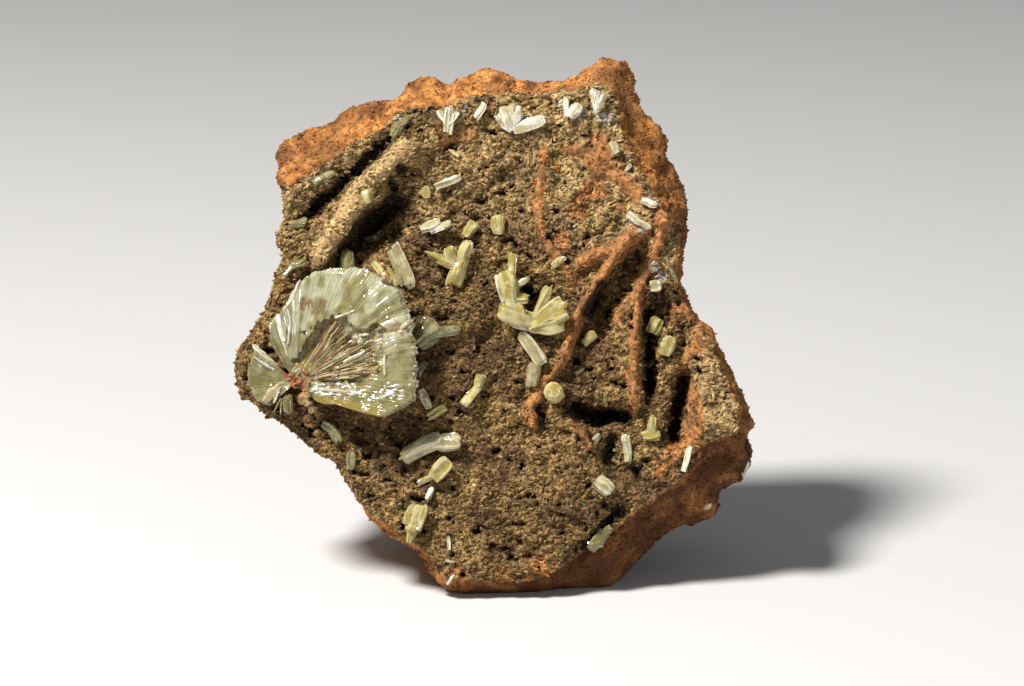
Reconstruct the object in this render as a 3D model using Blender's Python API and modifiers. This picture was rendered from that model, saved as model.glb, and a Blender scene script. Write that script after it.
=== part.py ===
"""Adamite crystals on a block of limonite, standing on its flat lower side.

Every point is given on the crystal face in millimetres, as (right, up, out): right and up
run across the face from its middle, and out points away from the stone. An empty leans the
finished pieces back, so that the face looks slightly upward and the flat base is level.
"""

import math

import bmesh
import bpy
import numpy as np
from mathutils import Matrix, Vector, noise
from mathutils.bvhtree import BVHTree

MM = 0.001

# How the stone stands
LEAN = math.radians(14)
FACE_MIDDLE_Y = -7.064
BASE_BELOW_MIDDLE = 21.0
MIDDLE_TO_CENTRE_X = 1.404

# The outline and the crystals are placed as they line up when seen from this far in front
VIEW_DISTANCE = 350.0

# The stone's outline, clockwise from its upper left corner
OUTLINE = [
    (-19.6, 16.5), (-19.0, 17.2), (-17.2, 17.8), (-15.3, 18.2), (-13.5, 19.9), (-11.1, 20.4),
    (-10.2, 20.2), (-8.7, 21.9), (-6.7, 22.4), (-5.3, 21.6), (-3.8, 22.4), (-1.8, 23.0),
    (-0.8, 22.5), (0.4, 21.7), (2.2, 21.5), (4.7, 21.9), (6.2, 23.0), (7.7, 23.9),
    (9.5, 23.6), (10.1, 22.3), (10.0, 21.3), (10.8, 19.7), (12.2, 17.8), (13.1, 16.5),
    (12.6, 15.8), (13.6, 14.7), (14.8, 11.9), (14.8, 8.9), (14.2, 5.2), (15.1, 2.7),
    (16.8, 1.0), (17.7, -1.4), (18.9, -3.5), (19.3, -5.3), (20.3, -6.8), (19.7, -7.9),
    (20.2, -9.2), (19.1, -11.2), (17.1, -12.5), (17.1, -14.2), (15.9, -14.8), (13.8, -15.3),
    (11.3, -17.2), (9.8, -19.0), (7.7, -20.8), (4.7, -20.8), (0.7, -21.2), (-2.8, -21.4),
    (-5.3, -20.7), (-6.4, -19.9), (-7.0, -18.3), (-8.3, -17.2), (-10.2, -16.1), (-12.0, -14.8),
    (-13.1, -12.9), (-13.7, -11.6), (-14.4, -10.3), (-16.2, -9.0), (-19.0, -6.8), (-21.7, -5.0),
    (-22.8, -4.2), (-23.2, -2.5), (-22.9, -0.5), (-21.7, 1.3), (-20.5, 2.8), (-19.8, 5.2),
    (-19.1, 7.4), (-19.8, 8.9), (-19.0, 10.1), (-19.1, 12.2), (-19.6, 13.4),
]

# The edge of the crumbly face, inside which the rim breaks away backward
FACE_EDGE = [
    (-19.3, 12.9), (-16.6, 14.3), (-13.5, 16.7), (-11.0, 17.9), (-9.8, 19.1), (-8.0, 19.9),
    (-5.6, 19.9), (-4.4, 20.5), (-1.0, 20.8), (3.7, 20.9), (5.3, 21.2), (6.7, 21.7),
    (7.9, 21.5), (8.8, 20.5), (9.1, 18.1), (9.7, 16.1), (10.8, 14.3), (11.8, 12.8),
    (12.5, 11.2), (13.3, 10.6), (14.0, 8.9), (13.7, 5.2), (14.6, 2.5), (16.3, 0.8),
    (17.3, -1.6), (18.2, -3.7), (18.8, -5.3), (18.9, -7.6), (15.7, -8.5), (15.2, -10.6),
    (12.3, -12.7), (10.9, -13.7), (9.4, -14.8), (8.5, -15.8), (6.5, -17.2), (4.4, -18.4),
    (2.8, -19.6), (-1.0, -19.9), (-3.5, -19.8), (-5.3, -20.0), (-6.2, -18.9), (-6.8, -17.7),
    (-8.0, -16.7), (-10.0, -15.6), (-11.7, -14.3), (-12.7, -12.8), (-13.3, -11.4),
    (-14.1, -10.1), (-16.0, -8.7), (-18.7, -6.5), (-21.2, -4.8), (-22.2, -4.0), (-22.7, -2.5),
    (-22.3, -0.6), (-21.2, 1.1), (-20.1, 2.7), (-19.4, 5.1), (-18.8, 7.3), (-19.3, 8.8),
    (-18.7, 10.1), (-18.8, 12.0),
]

# How far the rim has fallen back at the outline, by direction from the stone's centre
CENTRE = (-1.0, 1.1)
NARROWEST_RIM = 0.3
RIM_CURVE = 0.85
RIM_DROP = [
    (-180, 1.2), (-130, 1.3), (-110, 2.2), (-95, 2.8), (-75, 4.0), (-60, 4.6), (-42, 4.6),
    (-34, 3.4), (-24, 2.0), (-8, 1.8), (4, 2.4), (14, 4.0), (26, 3.4), (45, 3.4), (62, 3.0),
    (80, 3.0), (110, 3.4), (135, 3.2), (146, 1.6), (180, 1.2),
]

# The stone behind the face: depth at the edge and in the middle, and how its sides draw in
DEPTH_AT_EDGE = 13.0
DEPTH_GAINED_LOWER_DOWN = 0.12
BACK_BULGE = 5.5
SIDE_TAPER = 0.16
LOW_SIDE_TAPER = 0.06
TAPER_CURVE = 1.6
LOW_SIDE_FROM = -8.0
LOW_SIDE_OVER = 8.0
MEAN_RADIUS = 18.0

# Walls and fins that stand out of the face: height, half width, then their line
RIDGE_FLANK = 1.9
RIDGES = {
    "fin": (0.9, 1.25, [(-9.2, 16.3), (-12.0, 13.8), (-13.5, 11.2), (-14.9, 8.8), (-16.0, 7.3)]),
    "middle_wall": (0.5, 0.7, [(2.8, 16.1), (2.2, 11.6), (2.4, 9.2), (3.1, 8.0), (5.1, 5.2)]),
    "cross_wall": (0.7, 0.8, [(5.8, 6.8), (9.8, 8.8), (12.8, 10.7)]),
    "long_wall": (
        0.9, 0.75,
        [(9.8, 8.7), (8.7, 7.2), (7.3, 5.4), (6.3, 3.7), (5.4, 2.2), (4.8, 0.2), (4.3, -1.4),
         (3.4, -2.6), (2.5, -3.8), (1.7, -5.4), (1.8, -6.8)],
    ),
    "outer_wall": (
        1.1, 0.7,
        [(12.8, 10.2), (11.6, 7.0), (10.8, 5.4), (10.6, 3.9), (10.5, 2.1), (10.3, -0.3),
         (10.1, -2.2), (10.2, -4.0), (10.1, -5.8)],
    ),
    "side_wall": (0.6, 0.6, [(10.6, 4.5), (8.7, 2.2)]),
    "low_fin": (0.9, 0.6, [(4.8, -6.2), (5.8, -7.4), (6.7, -8.7)]),
}

# Cracks and slots in the face: depth, half width, then their line
FURROWS = {
    "furrow": (1.4, 0.8, [(-10.3, 16.8), (-13.8, 13.6), (-15.8, 11.8), (-17.5, 10.2)]),
    "cavity": (2.7, 1.0, [(5.2, -5.6), (7.3, -6.1), (9.6, -6.0)]),
    "crevice": (2.7, 0.7, [(11.4, 3.2), (11.6, -0.6), (11.4, -4.2)]),
    "block_crevice": (3.0, 0.8, [(14.3, -2.8), (13.8, -5.2), (13.5, -8.0)]),
    "slot": (1.5, 0.9, [(8.9, -13.9), (7.3, -15.8), (6.1, -17.1), (4.7, -18.2)]),
}

# One-sided drops: depth, reach, then the line, with the low ground to its right
CLIFF_END_SHARE = 0.12
CLIFF_CURVE = 1.5
CLIFFS = {
    "under_fin": (3.3, 4.4, [(-14.6, 7.0), (-13.2, 9.0), (-12.0, 11.0), (-10.8, 12.5), (-8.6, 14.4)]),
    "beside_long_wall": (
        2.6, 3.0,
        [(4.8, -1.2), (5.9, 2.2), (6.9, 3.7), (7.9, 5.4), (9.3, 7.2), (10.3, 8.4)],
    ),
    "low_ground": (1.5, 4.0, [(8.6, -12.6), (7.6, -11.4), (7.2, -10.0), (6.9, -8.7)]),
}

# Round dents: place on the face, radius and depth
HOLLOW_CURVE = 1.5
HOLLOWS = [
    (-4.8, 8.6, 6.5, 1.5), (-11.2, 9.4, 2.6, 1.0), (-9.2, 14.4, 0.9, 1.2), (-10.0, 13.2, 0.9, 1.0),
    (1.2, 3.6, 2.2, 1.6), (-1.8, 0.6, 1.6, 1.3), (-12.5, -7.2, 3.8, 1.9), (-8.6, -7.6, 2.6, 1.0),
    (7.6, 1.2, 1.5, 0.8), (9.0, -9.8, 2.2, 0.9), (-3.0, -8.0, 5.0, 0.5), (3.0, -12.5, 6.0, -0.7),
    (-8.0, 1.0, 4.5, 0.5),
]

# The raised block at the right
BLOCK_HEIGHT = 1.3
BLOCK_EDGE_SLOPE = 0.5
BLOCK = [
    (15.5, 2.1), (16.7, 1.2), (17.8, -0.8), (18.6, -3.2), (19.7, -6.8), (19.2, -7.9),
    (17.8, -8.3), (16.0, -8.1), (15.4, -6.8), (15.2, -3.4), (14.3, -1.1),
]

# Lumps of the crumbly face, and facets of the broken sides and back
FACE_LUMPS = [(2.3, 0.34), (1.2, 0.22)]
FACET_SIZE = 6.5
FACET_DEPTH = 1.8
FACET_TILT = 1.6
FACET_JOINT_SHARPNESS = 14
SIDE_LUMP_SIZE = 2.6
SIDE_LUMP_DEPTH = 0.5
SIDE_SET_BACK = 0.5
SIDE_BROKEN_FROM = 0.25
BACK_SHARE = 0.05
BACK_PUSH = 15.0
SEED = 3.7

# Mesh density
VOXEL = 0.42
MATRIX_TRIANGLES = 5300

# A crystal is clear of the stone by this gap, and its place on the stone is kept level
GAP = 0.3
SEAT_STEP = 0.05
LEVEL_MARGIN = 0.5
SEAT_SAMPLES = 5

# The large fan: direction, reach, width at the tip and rise out of the face, blade by blade
SPRAY_HUB = (-18.0, -3.2)
SPRAY_HUB_RISE = 1.1
SPRAY_OVERLAP = 0.5
SPRAY_THICKNESS = 2.3
SPRAY_THINNER_UNDER = 7.0
SPRAY_ROOT_SHARE = 0.35
SPRAY_ROLL = 7
SPRAY_ROLL_TURN = 2.4
SPRAY_BED = (-13.0, -0.6)
SPRAY_BED_RADIUS = 6.5
SPRAY_BLADES = [
    (113, 5.2, 1.2, 7), (104, 6.3, 1.4, 8), (95, 7.6, 1.6, 8), (87, 8.7, 2.0, 9),
    (77, 9.8, 2.8, 9), (65, 10.5, 3.2, 9), (53, 11.3, 3.0, 10), (43, 11.7, 2.2, 10),
    (34, 11.0, 2.4, 10), (27, 11.2, 1.6, 10), (18, 10.5, 2.8, 11), (7, 10.2, 2.8, 11),
    (-3, 9.9, 2.6, 11), (-11, 9.8, 2.2, 11), (-18, 8.6, 2.0, 11), (-25, 6.6, 1.8, 10),
    (-34, 3.4, 1.2, 8), (141, 4.9, 1.2, 6), (154, 4.4, 1.6, 5), (171, 3.9, 1.6, 4),
    (190, 3.6, 1.5, 3), (208, 3.5, 1.3, 2), (247, 2.7, 1.0, 4), (309, 2.3, 1.0, 12),
]

# The shorter, broader blades underneath, which carry the fan on the stone
SPRAY_UNDER_BLADES = [
    (101, 4.9, 3.0, 0), (78, 7.4, 4.2, 1), (55, 9.0, 4.8, 2), (31, 9.2, 4.8, 2),
    (9, 8.4, 4.4, 2), (-10, 7.6, 3.6, 2), (172, 2.9, 2.6, 0),
]

# The form of every crystal: root width and thickness by its width, and its chisel-edged tip
ROOT_SHARE = 0.75
FLATNESS = 0.7
CHISEL = 0.5
LONGEST_CHISEL = 0.45
CHISEL_INSET = 0.12
EDGE_WIDTH = 0.9
EDGE_THICKNESS = 0.3
SMALLEST_EDGE = 0.02
FLAT_WITHIN = math.radians(0.5)

# The smaller crystals: root and tip as they show on the face, width, and rise out of it
CRYSTALS = {
    "leaning_pair": [
        ((-10.1, 7.8), (-8.9, 4.8), 0.75, 2), ((-9.7, 8.1), (-8.3, 4.5), 0.85, 4),
    ],
    "cross": [
        ((-4.3, 6.1), (-3.5, 8.5), 1.2, 8), ((-4.6, 6.4), (-7.1, 7.5), 0.8, 4),
        ((-4.5, 6.3), (-5.4, 8.0), 1.1, 12), ((-4.2, 6.8), (-4.9, 4.7), 1.4, 3),
    ],
    "short_prism": [((-3.9, 8.9), (-3.1, 10.1), 0.8, 10)],
    "bright_plate": [
        ((-7.6, 9.5), (-5.9, 10.2), 0.8, 4), ((-6.8, 9.3), (-5.0, 10.1), 0.6, 8),
    ],
    "upright": [((-1.1, 9.1), (-1.2, 10.7), 1.0, 12)],
    "upper_prism": [((-6.4, 13.0), (-4.2, 13.9), 0.65, 3)],
    "stub": [((-7.1, 12.1), (-7.2, 13.1), 0.6, 10)],
    "strip_prism": [((-16.5, 13.3), (-14.8, 14.3), 0.6, 2)],
    "fin_knob": [((-11.9, 11.8), (-12.2, 12.8), 1.0, 30)],
    "left_prism": [((-18.5, 9.8), (-17.0, 10.3), 0.8, 2)],
    "cavity_wedge": [((-13.9, 6.0), (-13.6, 7.8), 1.2, 15)],
    "left_splinter": [((-18.4, 6.4), (-17.1, 6.8), 0.65, 4)],
    "top_left_fan": [
        ((-5.4, 17.6), (-5.2, 19.7), 0.8, 8), ((-5.4, 18.2), (-6.2, 19.4), 0.6, 6),
        ((-5.3, 18.2), (-4.4, 19.2), 0.5, 6),
    ],
    "top_splinter": [((-3.0, 18.8), (-2.2, 20.0), 0.65, 8)],
    "top_fan": [
        ((0.0, 17.7), (0.0, 20.0), 1.0, 10), ((0.0, 17.8), (-0.8, 19.8), 1.0, 10),
        ((0.0, 17.8), (-1.3, 19.0), 0.9, 8), ((0.1, 17.8), (0.6, 19.8), 0.8, 12),
        ((0.1, 17.8), (2.8, 18.7), 1.0, 4),
    ],
    "rim_pair": [((-10.0, 17.2), (-9.3, 18.3), 0.65, 3), ((-9.5, 18.1), (-8.5, 18.9), 0.6, 3)],
    "corner_pair": [((4.6, 18.9), (4.4, 20.4), 0.6, 3), ((4.7, 18.9), (5.7, 19.9), 0.9, 3)],
    "corner_fan": [((7.1, 19.4), (6.8, 21.2), 0.7, 4), ((7.1, 19.4), (7.8, 20.8), 0.6, 4)],
    "corner_plate": [((8.7, 15.8), (8.3, 16.8), 0.8, 5)],
    "rim_splinter": [((10.8, 11.8), (12.2, 11.5), 0.6, 2)],
    "wall_splinters": [((9.6, 10.8), (10.8, 9.9), 0.6, 3), ((10.5, 10.2), (11.6, 9.5), 0.5, 3)],
    "centre_group": [
        ((0.1, 3.2), (-0.7, 6.1), 1.7, 12), ((-0.2, 4.8), (0.1, 7.6), 0.7, 10),
        ((0.0, 3.8), (1.4, 3.6), 0.8, 18), ((0.0, 4.6), (1.5, 5.4), 0.5, 16),
        ((1.9, 1.7), (-1.2, 2.9), 1.5, 14), ((1.5, 1.3), (3.1, 4.8), 0.9, 14),
        ((1.5, 1.3), (4.2, 3.6), 1.3, 16), ((1.5, 1.2), (4.7, 2.5), 1.3, 16),
        ((1.5, 1.3), (4.4, 1.4), 1.1, 12), ((0.9, 2.2), (0.0, 3.9), 0.9, 10),
    ],
    "below_centre": [((0.7, 0.7), (2.7, -1.8), 1.0, 4), ((1.6, -3.6), (1.9, -1.6), 1.1, 6)],
    "knob": [((3.3, -4.9), (3.7, -3.4), 1.6, 25)],
    "trough_prism": [((5.9, 0.0), (7.0, 0.8), 0.8, 5)],
    "beside_spray": [((-8.0, 0.0), (-6.2, 1.7), 2.0, 8), ((-7.0, 0.8), (-4.2, 1.2), 0.9, 3)],
    "bent_pair": [((-2.9, -3.8), (-2.5, -2.6), 0.8, 6), ((-2.8, -3.6), (-4.1, -5.2), 0.8, 4)],
    "spray_foot": [((-7.6, -3.9), (-6.8, -5.5), 0.65, 3)],
    "foot_prism": [((-7.0, -6.1), (-5.5, -5.3), 0.8, 4)],
    "striated_prism": [((-5.9, -7.8), (-9.2, -9.8), 1.4, 4), ((-6.6, -8.4), (-4.2, -8.2), 1.35, 8)],
    "lobed": [((-6.6, -11.2), (-5.2, -9.7), 1.3, 12), ((-6.0, -10.8), (-7.9, -11.7), 0.5, 3)],
    "silver_bar": [((-7.1, -13.0), (-6.6, -12.0), 0.5, 6)],
    "club": [((-8.6, -16.6), (-8.1, -14.6), 0.7, 4), ((-8.4, -15.6), (-7.8, -13.4), 1.5, 8)],
    "low_wedge": [((-13.5, -10.5), (-13.4, -9.0), 0.75, 4)],
    "under_spray": [((-15.8, -6.7), (-14.8, -7.4), 0.65, 3), ((-15.2, -6.9), (-14.3, -8.3), 0.8, 5)],
    "white_block": [((11.5, 4.7), (12.5, 4.8), 1.0, 5)],
    "yellow_left": [((11.6, 0.9), (12.3, 2.1), 1.2, 12)],
    "yellow_right": [((12.7, -1.0), (13.2, 0.6), 1.1, 10)],
    "recess_pair": [((10.9, -7.8), (12.4, -7.6), 0.85, 4), ((11.7, -7.7), (11.8, -6.0), 0.7, 10)],
    "white_bar": [((9.7, -9.8), (9.4, -7.6), 0.7, 12)],
    "fibrous_block": [((7.0, -11.4), (8.3, -12.5), 1.2, 4)],
    "silver_streak": [((14.3, -10.7), (14.9, -8.6), 0.5, 2)],
    "slot_pair": [((6.5, -17.2), (8.3, -15.3), 1.0, 4), ((6.4, -17.0), (7.6, -16.6), 0.8, 3)],
}

STONE_BROWN = (0.23, 0.13, 0.06)
ADAMITE_GREEN = (0.62, 0.60, 0.27)
ADAMITE_PALE = (0.66, 0.66, 0.46)
STONE_ROUGHNESS = 0.95
CRYSTAL_ROUGHNESS = 0.2
PALE_CRYSTALS = [
    "bright_plate", "upper_prism", "striated_prism", "lobed", "white_block", "white_bar",
    "silver_bar", "silver_streak",
]


def line_distance(across, up, line):
    """Distance from each point to a line, how far along it lies, and if it is on the right."""
    best = np.full(across.shape, np.inf)
    along = np.zeros(across.shape)
    right = np.zeros(across.shape, bool)
    for index, ((ax, ay), (bx, by)) in enumerate(zip(line, line[1:])):
        dx, dy = bx - ax, by - ay
        share = ((across - ax) * dx + (up - ay) * dy) / (dx * dx + dy * dy)
        share = share.clip(0, 1)
        distance = np.hypot(across - ax - share * dx, up - ay - share * dy)
        nearer = distance < best
        best = np.where(nearer, distance, best)
        along = np.where(nearer, (index + share) / (len(line) - 1), along)
        side = (across - ax) * dy - (up - ay) * dx
        right = np.where(nearer, side > 0, right)
    return best, along, right


def inside(across, up, polygon):
    """Whether each point lies inside a closed polygon."""
    found = np.zeros(across.shape, bool)
    for (ax, ay), (bx, by) in zip(polygon, polygon[1:] + polygon[:1]):
        spans = (ay > up) != (by > up)
        rise = by - ay if by != ay else 1.0
        found ^= spans & (across < (bx - ax) * (up - ay) / rise + ax)
    return found


def reach_of(polygon, angles):
    """How far a closed outline reaches from the stone's centre, in each direction."""
    reach = np.zeros(angles.shape)
    for (ax, ay), (bx, by) in zip(polygon, polygon[1:] + polygon[:1]):
        ax, bx, ay, by = ax - CENTRE[0], bx - CENTRE[0], ay - CENTRE[1], by - CENTRE[1]
        cross = np.cos(angles) * (by - ay) - np.sin(angles) * (bx - ax)
        cross = np.where(np.abs(cross) < 1e-9, 1e-9, cross)
        length = (ax * by - ay * bx) / cross
        share = (ax * np.sin(angles) - ay * np.cos(angles)) / cross
        hit = (length > 0) & (share > -1e-6) & (share < 1 + 1e-6)
        reach = np.where(hit, np.maximum(reach, length), reach)
    return reach


def level_seats(across, up, out):
    """Levels the stone under each crystal, and says how rough it may be around them."""
    rough = (np.hypot(across - SPRAY_BED[0], up - SPRAY_BED[1]) / SPRAY_BED_RADIUS).clip(0, 1)
    for blades in CRYSTALS.values():
        for root, tip, width, _ in blades:
            distance = line_distance(across, up, [root, tip])[0] - width / 2
            share = (distance / LEVEL_MARGIN).clip(0, 1)
            steps = np.linspace(root, tip, SEAT_SAMPLES).T
            seat_out = float(np.mean(front(*steps)))
            out = seat_out + (out - seat_out) * share
            rough = np.minimum(rough, share)
    return out, rough


def relief(across, up):
    """How far out the face lies, apart from its small lumps."""
    out = np.zeros(across.shape)
    for x, y, radius, depth in HOLLOWS:
        share = np.hypot(across - x, up - y) / radius
        out -= depth * (1 - share.clip(0, 1) ** 2) ** HOLLOW_CURVE
    for depth, reach, line in CLIFFS.values():
        distance, along, right = line_distance(across, up, line)
        ends = np.sin(np.pi * (CLIFF_END_SHARE + (1 - 2 * CLIFF_END_SHARE) * along))
        drop = depth * ends * (1 - (distance / reach).clip(0, 1) ** CLIFF_CURVE)
        out -= np.where(right, drop, 0)
    for depth, width, line in FURROWS.values():
        distance = line_distance(across, up, line)[0]
        out -= depth * (1 - (distance / width).clip(0, 1) ** 2)
    for height, width, line in RIDGES.values():
        distance = line_distance(across, up, line)[0]
        out += height * (RIDGE_FLANK * (1 - distance / width)).clip(0, 1)
    edge = line_distance(across, up, BLOCK + BLOCK[:1])[0]
    raised = (edge / BLOCK_EDGE_SLOPE).clip(0, 1) * inside(across, up, BLOCK)
    return out + BLOCK_HEIGHT * raised


def front(across, up):
    """How far out the front lies, with its rim falling back to the outline."""
    angles = np.arctan2(up - CENTRE[1], across - CENTRE[0])
    radius = np.hypot(across - CENTRE[0], up - CENTRE[1])
    edge, outline = reach_of(FACE_EDGE, angles), reach_of(OUTLINE, angles)
    edge = np.minimum(edge, outline - NARROWEST_RIM)
    fallen = ((radius - edge) / (outline - edge)).clip(0, 1)
    drops = np.interp(np.degrees(angles), *zip(*RIM_DROP))
    return relief(across, up) * (1 - fallen) - drops * fallen**RIM_CURVE


def facets(point):
    """Height of a broken surface: tilted facets with soft joints between them."""
    where = point / FACET_SIZE + Vector((SEED, SEED, SEED))
    distances, centres = noise.voronoi(where)
    total = weights = 0.0
    for distance, centre in zip(distances, centres):
        weight = math.exp(-FACET_JOINT_SHARPNESS * (distance - distances[0]))
        seed = centre * SEED
        tilt = Vector((noise.noise(seed.yzx), noise.noise(seed.zxy), noise.noise(-seed)))
        total += weight * (FACET_TILT * tilt.dot(where - centre) + noise.noise(seed))
        weights += weight
    return total / weights


def slab():
    """A slab of the outline's shape, remeshed into even small faces."""
    curve = bpy.data.curves.new("outline", "CURVE")
    curve.dimensions = "2D"
    curve.fill_mode = "BOTH"
    curve.extrude = DEPTH_AT_EDGE / 2
    spline = curve.splines.new("POLY")
    spline.points.add(len(OUTLINE) - 1)
    for point, (x, y) in zip(spline.points, OUTLINE):
        point.co = (x, y, 0, 1)
    spline.use_cyclic_u = True
    piece = bpy.data.objects.new("outline", curve)
    bpy.context.scene.collection.objects.link(piece)
    mesh = evaluated(piece)
    bpy.data.objects.remove(piece)
    piece = bpy.data.objects.new("matrix", mesh)
    bpy.context.scene.collection.objects.link(piece)
    remesh = piece.modifiers.new("Even faces", "REMESH")
    remesh.mode = "VOXEL"
    remesh.voxel_size = VOXEL
    apply_modifiers(piece)
    return piece


def evaluated(piece):
    """A new mesh of an object as its modifiers leave it."""
    view = bpy.context.evaluated_depsgraph_get()
    return bpy.data.meshes.new_from_object(piece.evaluated_get(view))


def apply_modifiers(piece):
    mesh = evaluated(piece)
    piece.modifiers.clear()
    piece.data = mesh


def carve(piece):
    """Shapes the slab: relief in front, drawn-in sides and a broken, bulging back."""
    count = len(piece.data.vertices)
    places = np.empty(count * 3, np.float32)
    piece.data.vertices.foreach_get("co", places)
    across, up, level = places.reshape(-1, 3).astype(float).T
    share = (level / DEPTH_AT_EDGE + 0.5).clip(0, 1)

    angles = np.arctan2(up - CENTRE[1], across - CENTRE[0])
    radius = np.hypot(across - CENTRE[0], up - CENTRE[1])
    outline = reach_of(OUTLINE, angles)
    on_side = radius > outline - VOXEL
    stretch = np.where(on_side, outline / radius.clip(1e-6), 1)
    across = CENTRE[0] + (across - CENTRE[0]) * stretch
    up = CENTRE[1] + (up - CENTRE[1]) * stretch
    reach = (radius * stretch / outline).clip(0, 1)
    front_out = front(across, up)

    front_out, rough = level_seats(across, up, front_out)
    for index in range(count):
        for size, depth in FACE_LUMPS:
            where = Vector((across[index], up[index], SEED)) / size
            front_out[index] += depth * rough[index] * noise.noise(where)

    depth = DEPTH_AT_EDGE - DEPTH_GAINED_LOWER_DOWN * up
    back_out = -depth - BACK_BULGE * np.sqrt(1 - reach**2)
    out = back_out + (front_out - back_out) * share

    low = ((LOW_SIDE_FROM - up) / LOW_SIDE_OVER).clip(0, 1)
    taper = SIDE_TAPER + (LOW_SIDE_TAPER - SIDE_TAPER) * low
    drawn_in = 1 - taper * (1 - share) ** TAPER_CURVE
    on_back = share < BACK_SHARE
    drawn_in_by = (1 - drawn_in) * MEAN_RADIUS + on_back
    across = CENTRE[0] + (across - CENTRE[0]) * drawn_in
    up = CENTRE[1] + (up - CENTRE[1]) * drawn_in

    broken = (1 - share) / SIDE_BROKEN_FROM * reach**4
    broken = np.maximum(broken.clip(0, 1), on_back)
    for index in range(count):
        if broken[index] <= 0:
            continue
        where = Vector((across[index], up[index], out[index]))
        push = FACET_DEPTH * facets(where)
        push += SIDE_LUMP_DEPTH * noise.noise(where / SIDE_LUMP_SIZE) - SIDE_SET_BACK
        push = min(push, drawn_in_by[index])
        sideways = Vector((across[index], up[index])) - Vector(CENTRE)
        backward = -BACK_PUSH * (1 - share[index]) ** 3
        away = Vector((*(sideways * reach[index]), backward)).normalized()
        away *= push * broken[index]
        across[index] += away.x
        up[index] += away.y
        out[index] += away.z

    spread = 1 - out / VIEW_DISTANCE
    places = np.stack([across * spread, up * spread, out], 1).astype(np.float32)
    piece.data.vertices.foreach_set("co", places.ravel())
    piece.data.update()


def thin_out(piece, triangles):
    """Brings a piece down to a number of triangles, with most of them where it is rough."""
    bm = bmesh.new()
    bm.from_mesh(piece.data)
    bmesh.ops.triangulate(bm, faces=bm.faces)
    bm.to_mesh(piece.data)
    bm.free()
    decimate = piece.modifiers.new("Fewer faces", "DECIMATE")
    decimate.ratio = triangles / len(piece.data.polygons)
    apply_modifiers(piece)


def cut_base(piece):
    """Cuts the stone off level below, so that it stands."""
    down = Vector((0, -math.cos(LEAN), -math.sin(LEAN)))
    bm = bmesh.new()
    bm.from_mesh(piece.data)
    everything = bm.verts[:] + bm.edges[:] + bm.faces[:]
    bmesh.ops.bisect_plane(
        bm, geom=everything, dist=1e-3, plane_co=down * BASE_BELOW_MIDDLE, plane_no=down,
        clear_outer=True,
    )
    bmesh.ops.holes_fill(bm, edges=[edge for edge in bm.edges if edge.is_boundary])
    bmesh.ops.dissolve_degenerate(bm, edges=bm.edges, dist=0.02)
    bmesh.ops.triangulate(bm, faces=bm.faces)
    bmesh.ops.recalc_face_normals(bm, faces=bm.faces)
    bm.to_mesh(piece.data)
    bm.free()


def blade(length, width, thickness, root_share):
    """A six-sided crystal along +X from its root, ending in a chisel edge."""
    point = min(CHISEL * width, LONGEST_CHISEL * length)
    bm = bmesh.new()
    bmesh.ops.create_cone(
        bm, cap_ends=True, segments=6, radius1=0.5, radius2=0.5, depth=1,
        matrix=Matrix.Translation((0.5, 0, 0)) @ Matrix.Rotation(math.radians(90), 4, "Y"),
    )
    bm.faces.ensure_lookup_table()
    end = max(bm.faces, key=lambda face: face.calc_center_median().x)
    bmesh.ops.inset_region(bm, faces=[end], thickness=CHISEL_INSET)
    for vertex in bm.verts:
        at_tip = vertex in end.verts
        vertex.co.x = length if at_tip else vertex.co.x * (length - point)
        narrow = root_share if vertex.co.x < 1e-6 else 1.0
        vertex.co.y *= width * narrow * (EDGE_WIDTH if at_tip else 1.0)
        vertex.co.z *= thickness * narrow * (EDGE_THICKNESS if at_tip else 1.0)
    return bm


def placed_blade(root, tip, width, thickness, rise, lift, roll=0.0, root_share=ROOT_SHARE):
    """A blade from where its root shows on the stone to where its tip shows, as an object."""
    start = Vector((*root, lift))
    end = Vector((*tip, lift + math.tan(math.radians(rise)) * math.dist(root, tip)))
    start.xy *= 1 - start.z / VIEW_DISTANCE
    end.xy *= 1 - end.z / VIEW_DISTANCE
    along = (end - start).normalized()
    across = Vector((0, 0, 1)).cross(along).normalized()
    frame = Matrix((along, across, along.cross(across))).transposed().to_4x4()
    frame @= Matrix.Rotation(math.radians(roll), 4, "X")
    bm = blade((end - start).length, width, thickness, root_share)
    bmesh.ops.transform(bm, matrix=Matrix.Translation(start) @ frame, verts=bm.verts)
    mesh = bpy.data.meshes.new("blade")
    bm.to_mesh(mesh)
    bm.free()
    piece = bpy.data.objects.new("blade", mesh)
    bpy.context.scene.collection.objects.link(piece)
    return piece


def grown_together(name, blades):
    """Unites overlapping blades in one solid, without needlessly short edges."""
    whole = blades[0]
    for other in blades[1:]:
        union = whole.modifiers.new("Grown together", "BOOLEAN")
        union.operation = "UNION"
        union.solver = "EXACT"
        union.object = other
        apply_modifiers(whole)
        bpy.data.objects.remove(other)
    whole.name = name
    bm = bmesh.new()
    bm.from_mesh(whole.data)
    bmesh.ops.dissolve_limit(bm, angle_limit=FLAT_WITHIN, verts=bm.verts, edges=bm.edges)
    bmesh.ops.triangulate(bm, faces=bm.faces)
    bmesh.ops.dissolve_degenerate(bm, edges=bm.edges, dist=SMALLEST_EDGE)
    bm.to_mesh(whole.data)
    bm.free()
    return whole


def tree_of(piece):
    bm = bmesh.new()
    bm.from_mesh(piece.data)
    tree = BVHTree.FromBMesh(bm)
    bm.free()
    return tree


def out_at(stone_tree, place):
    """How far out the stone lies where it shows at this place of the face."""
    eye = Vector((0, 0, VIEW_DISTANCE))
    hit = stone_tree.ray_cast(eye, Vector((*place, 0)) - eye)[0]
    return hit.z if hit else 0.0


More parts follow.
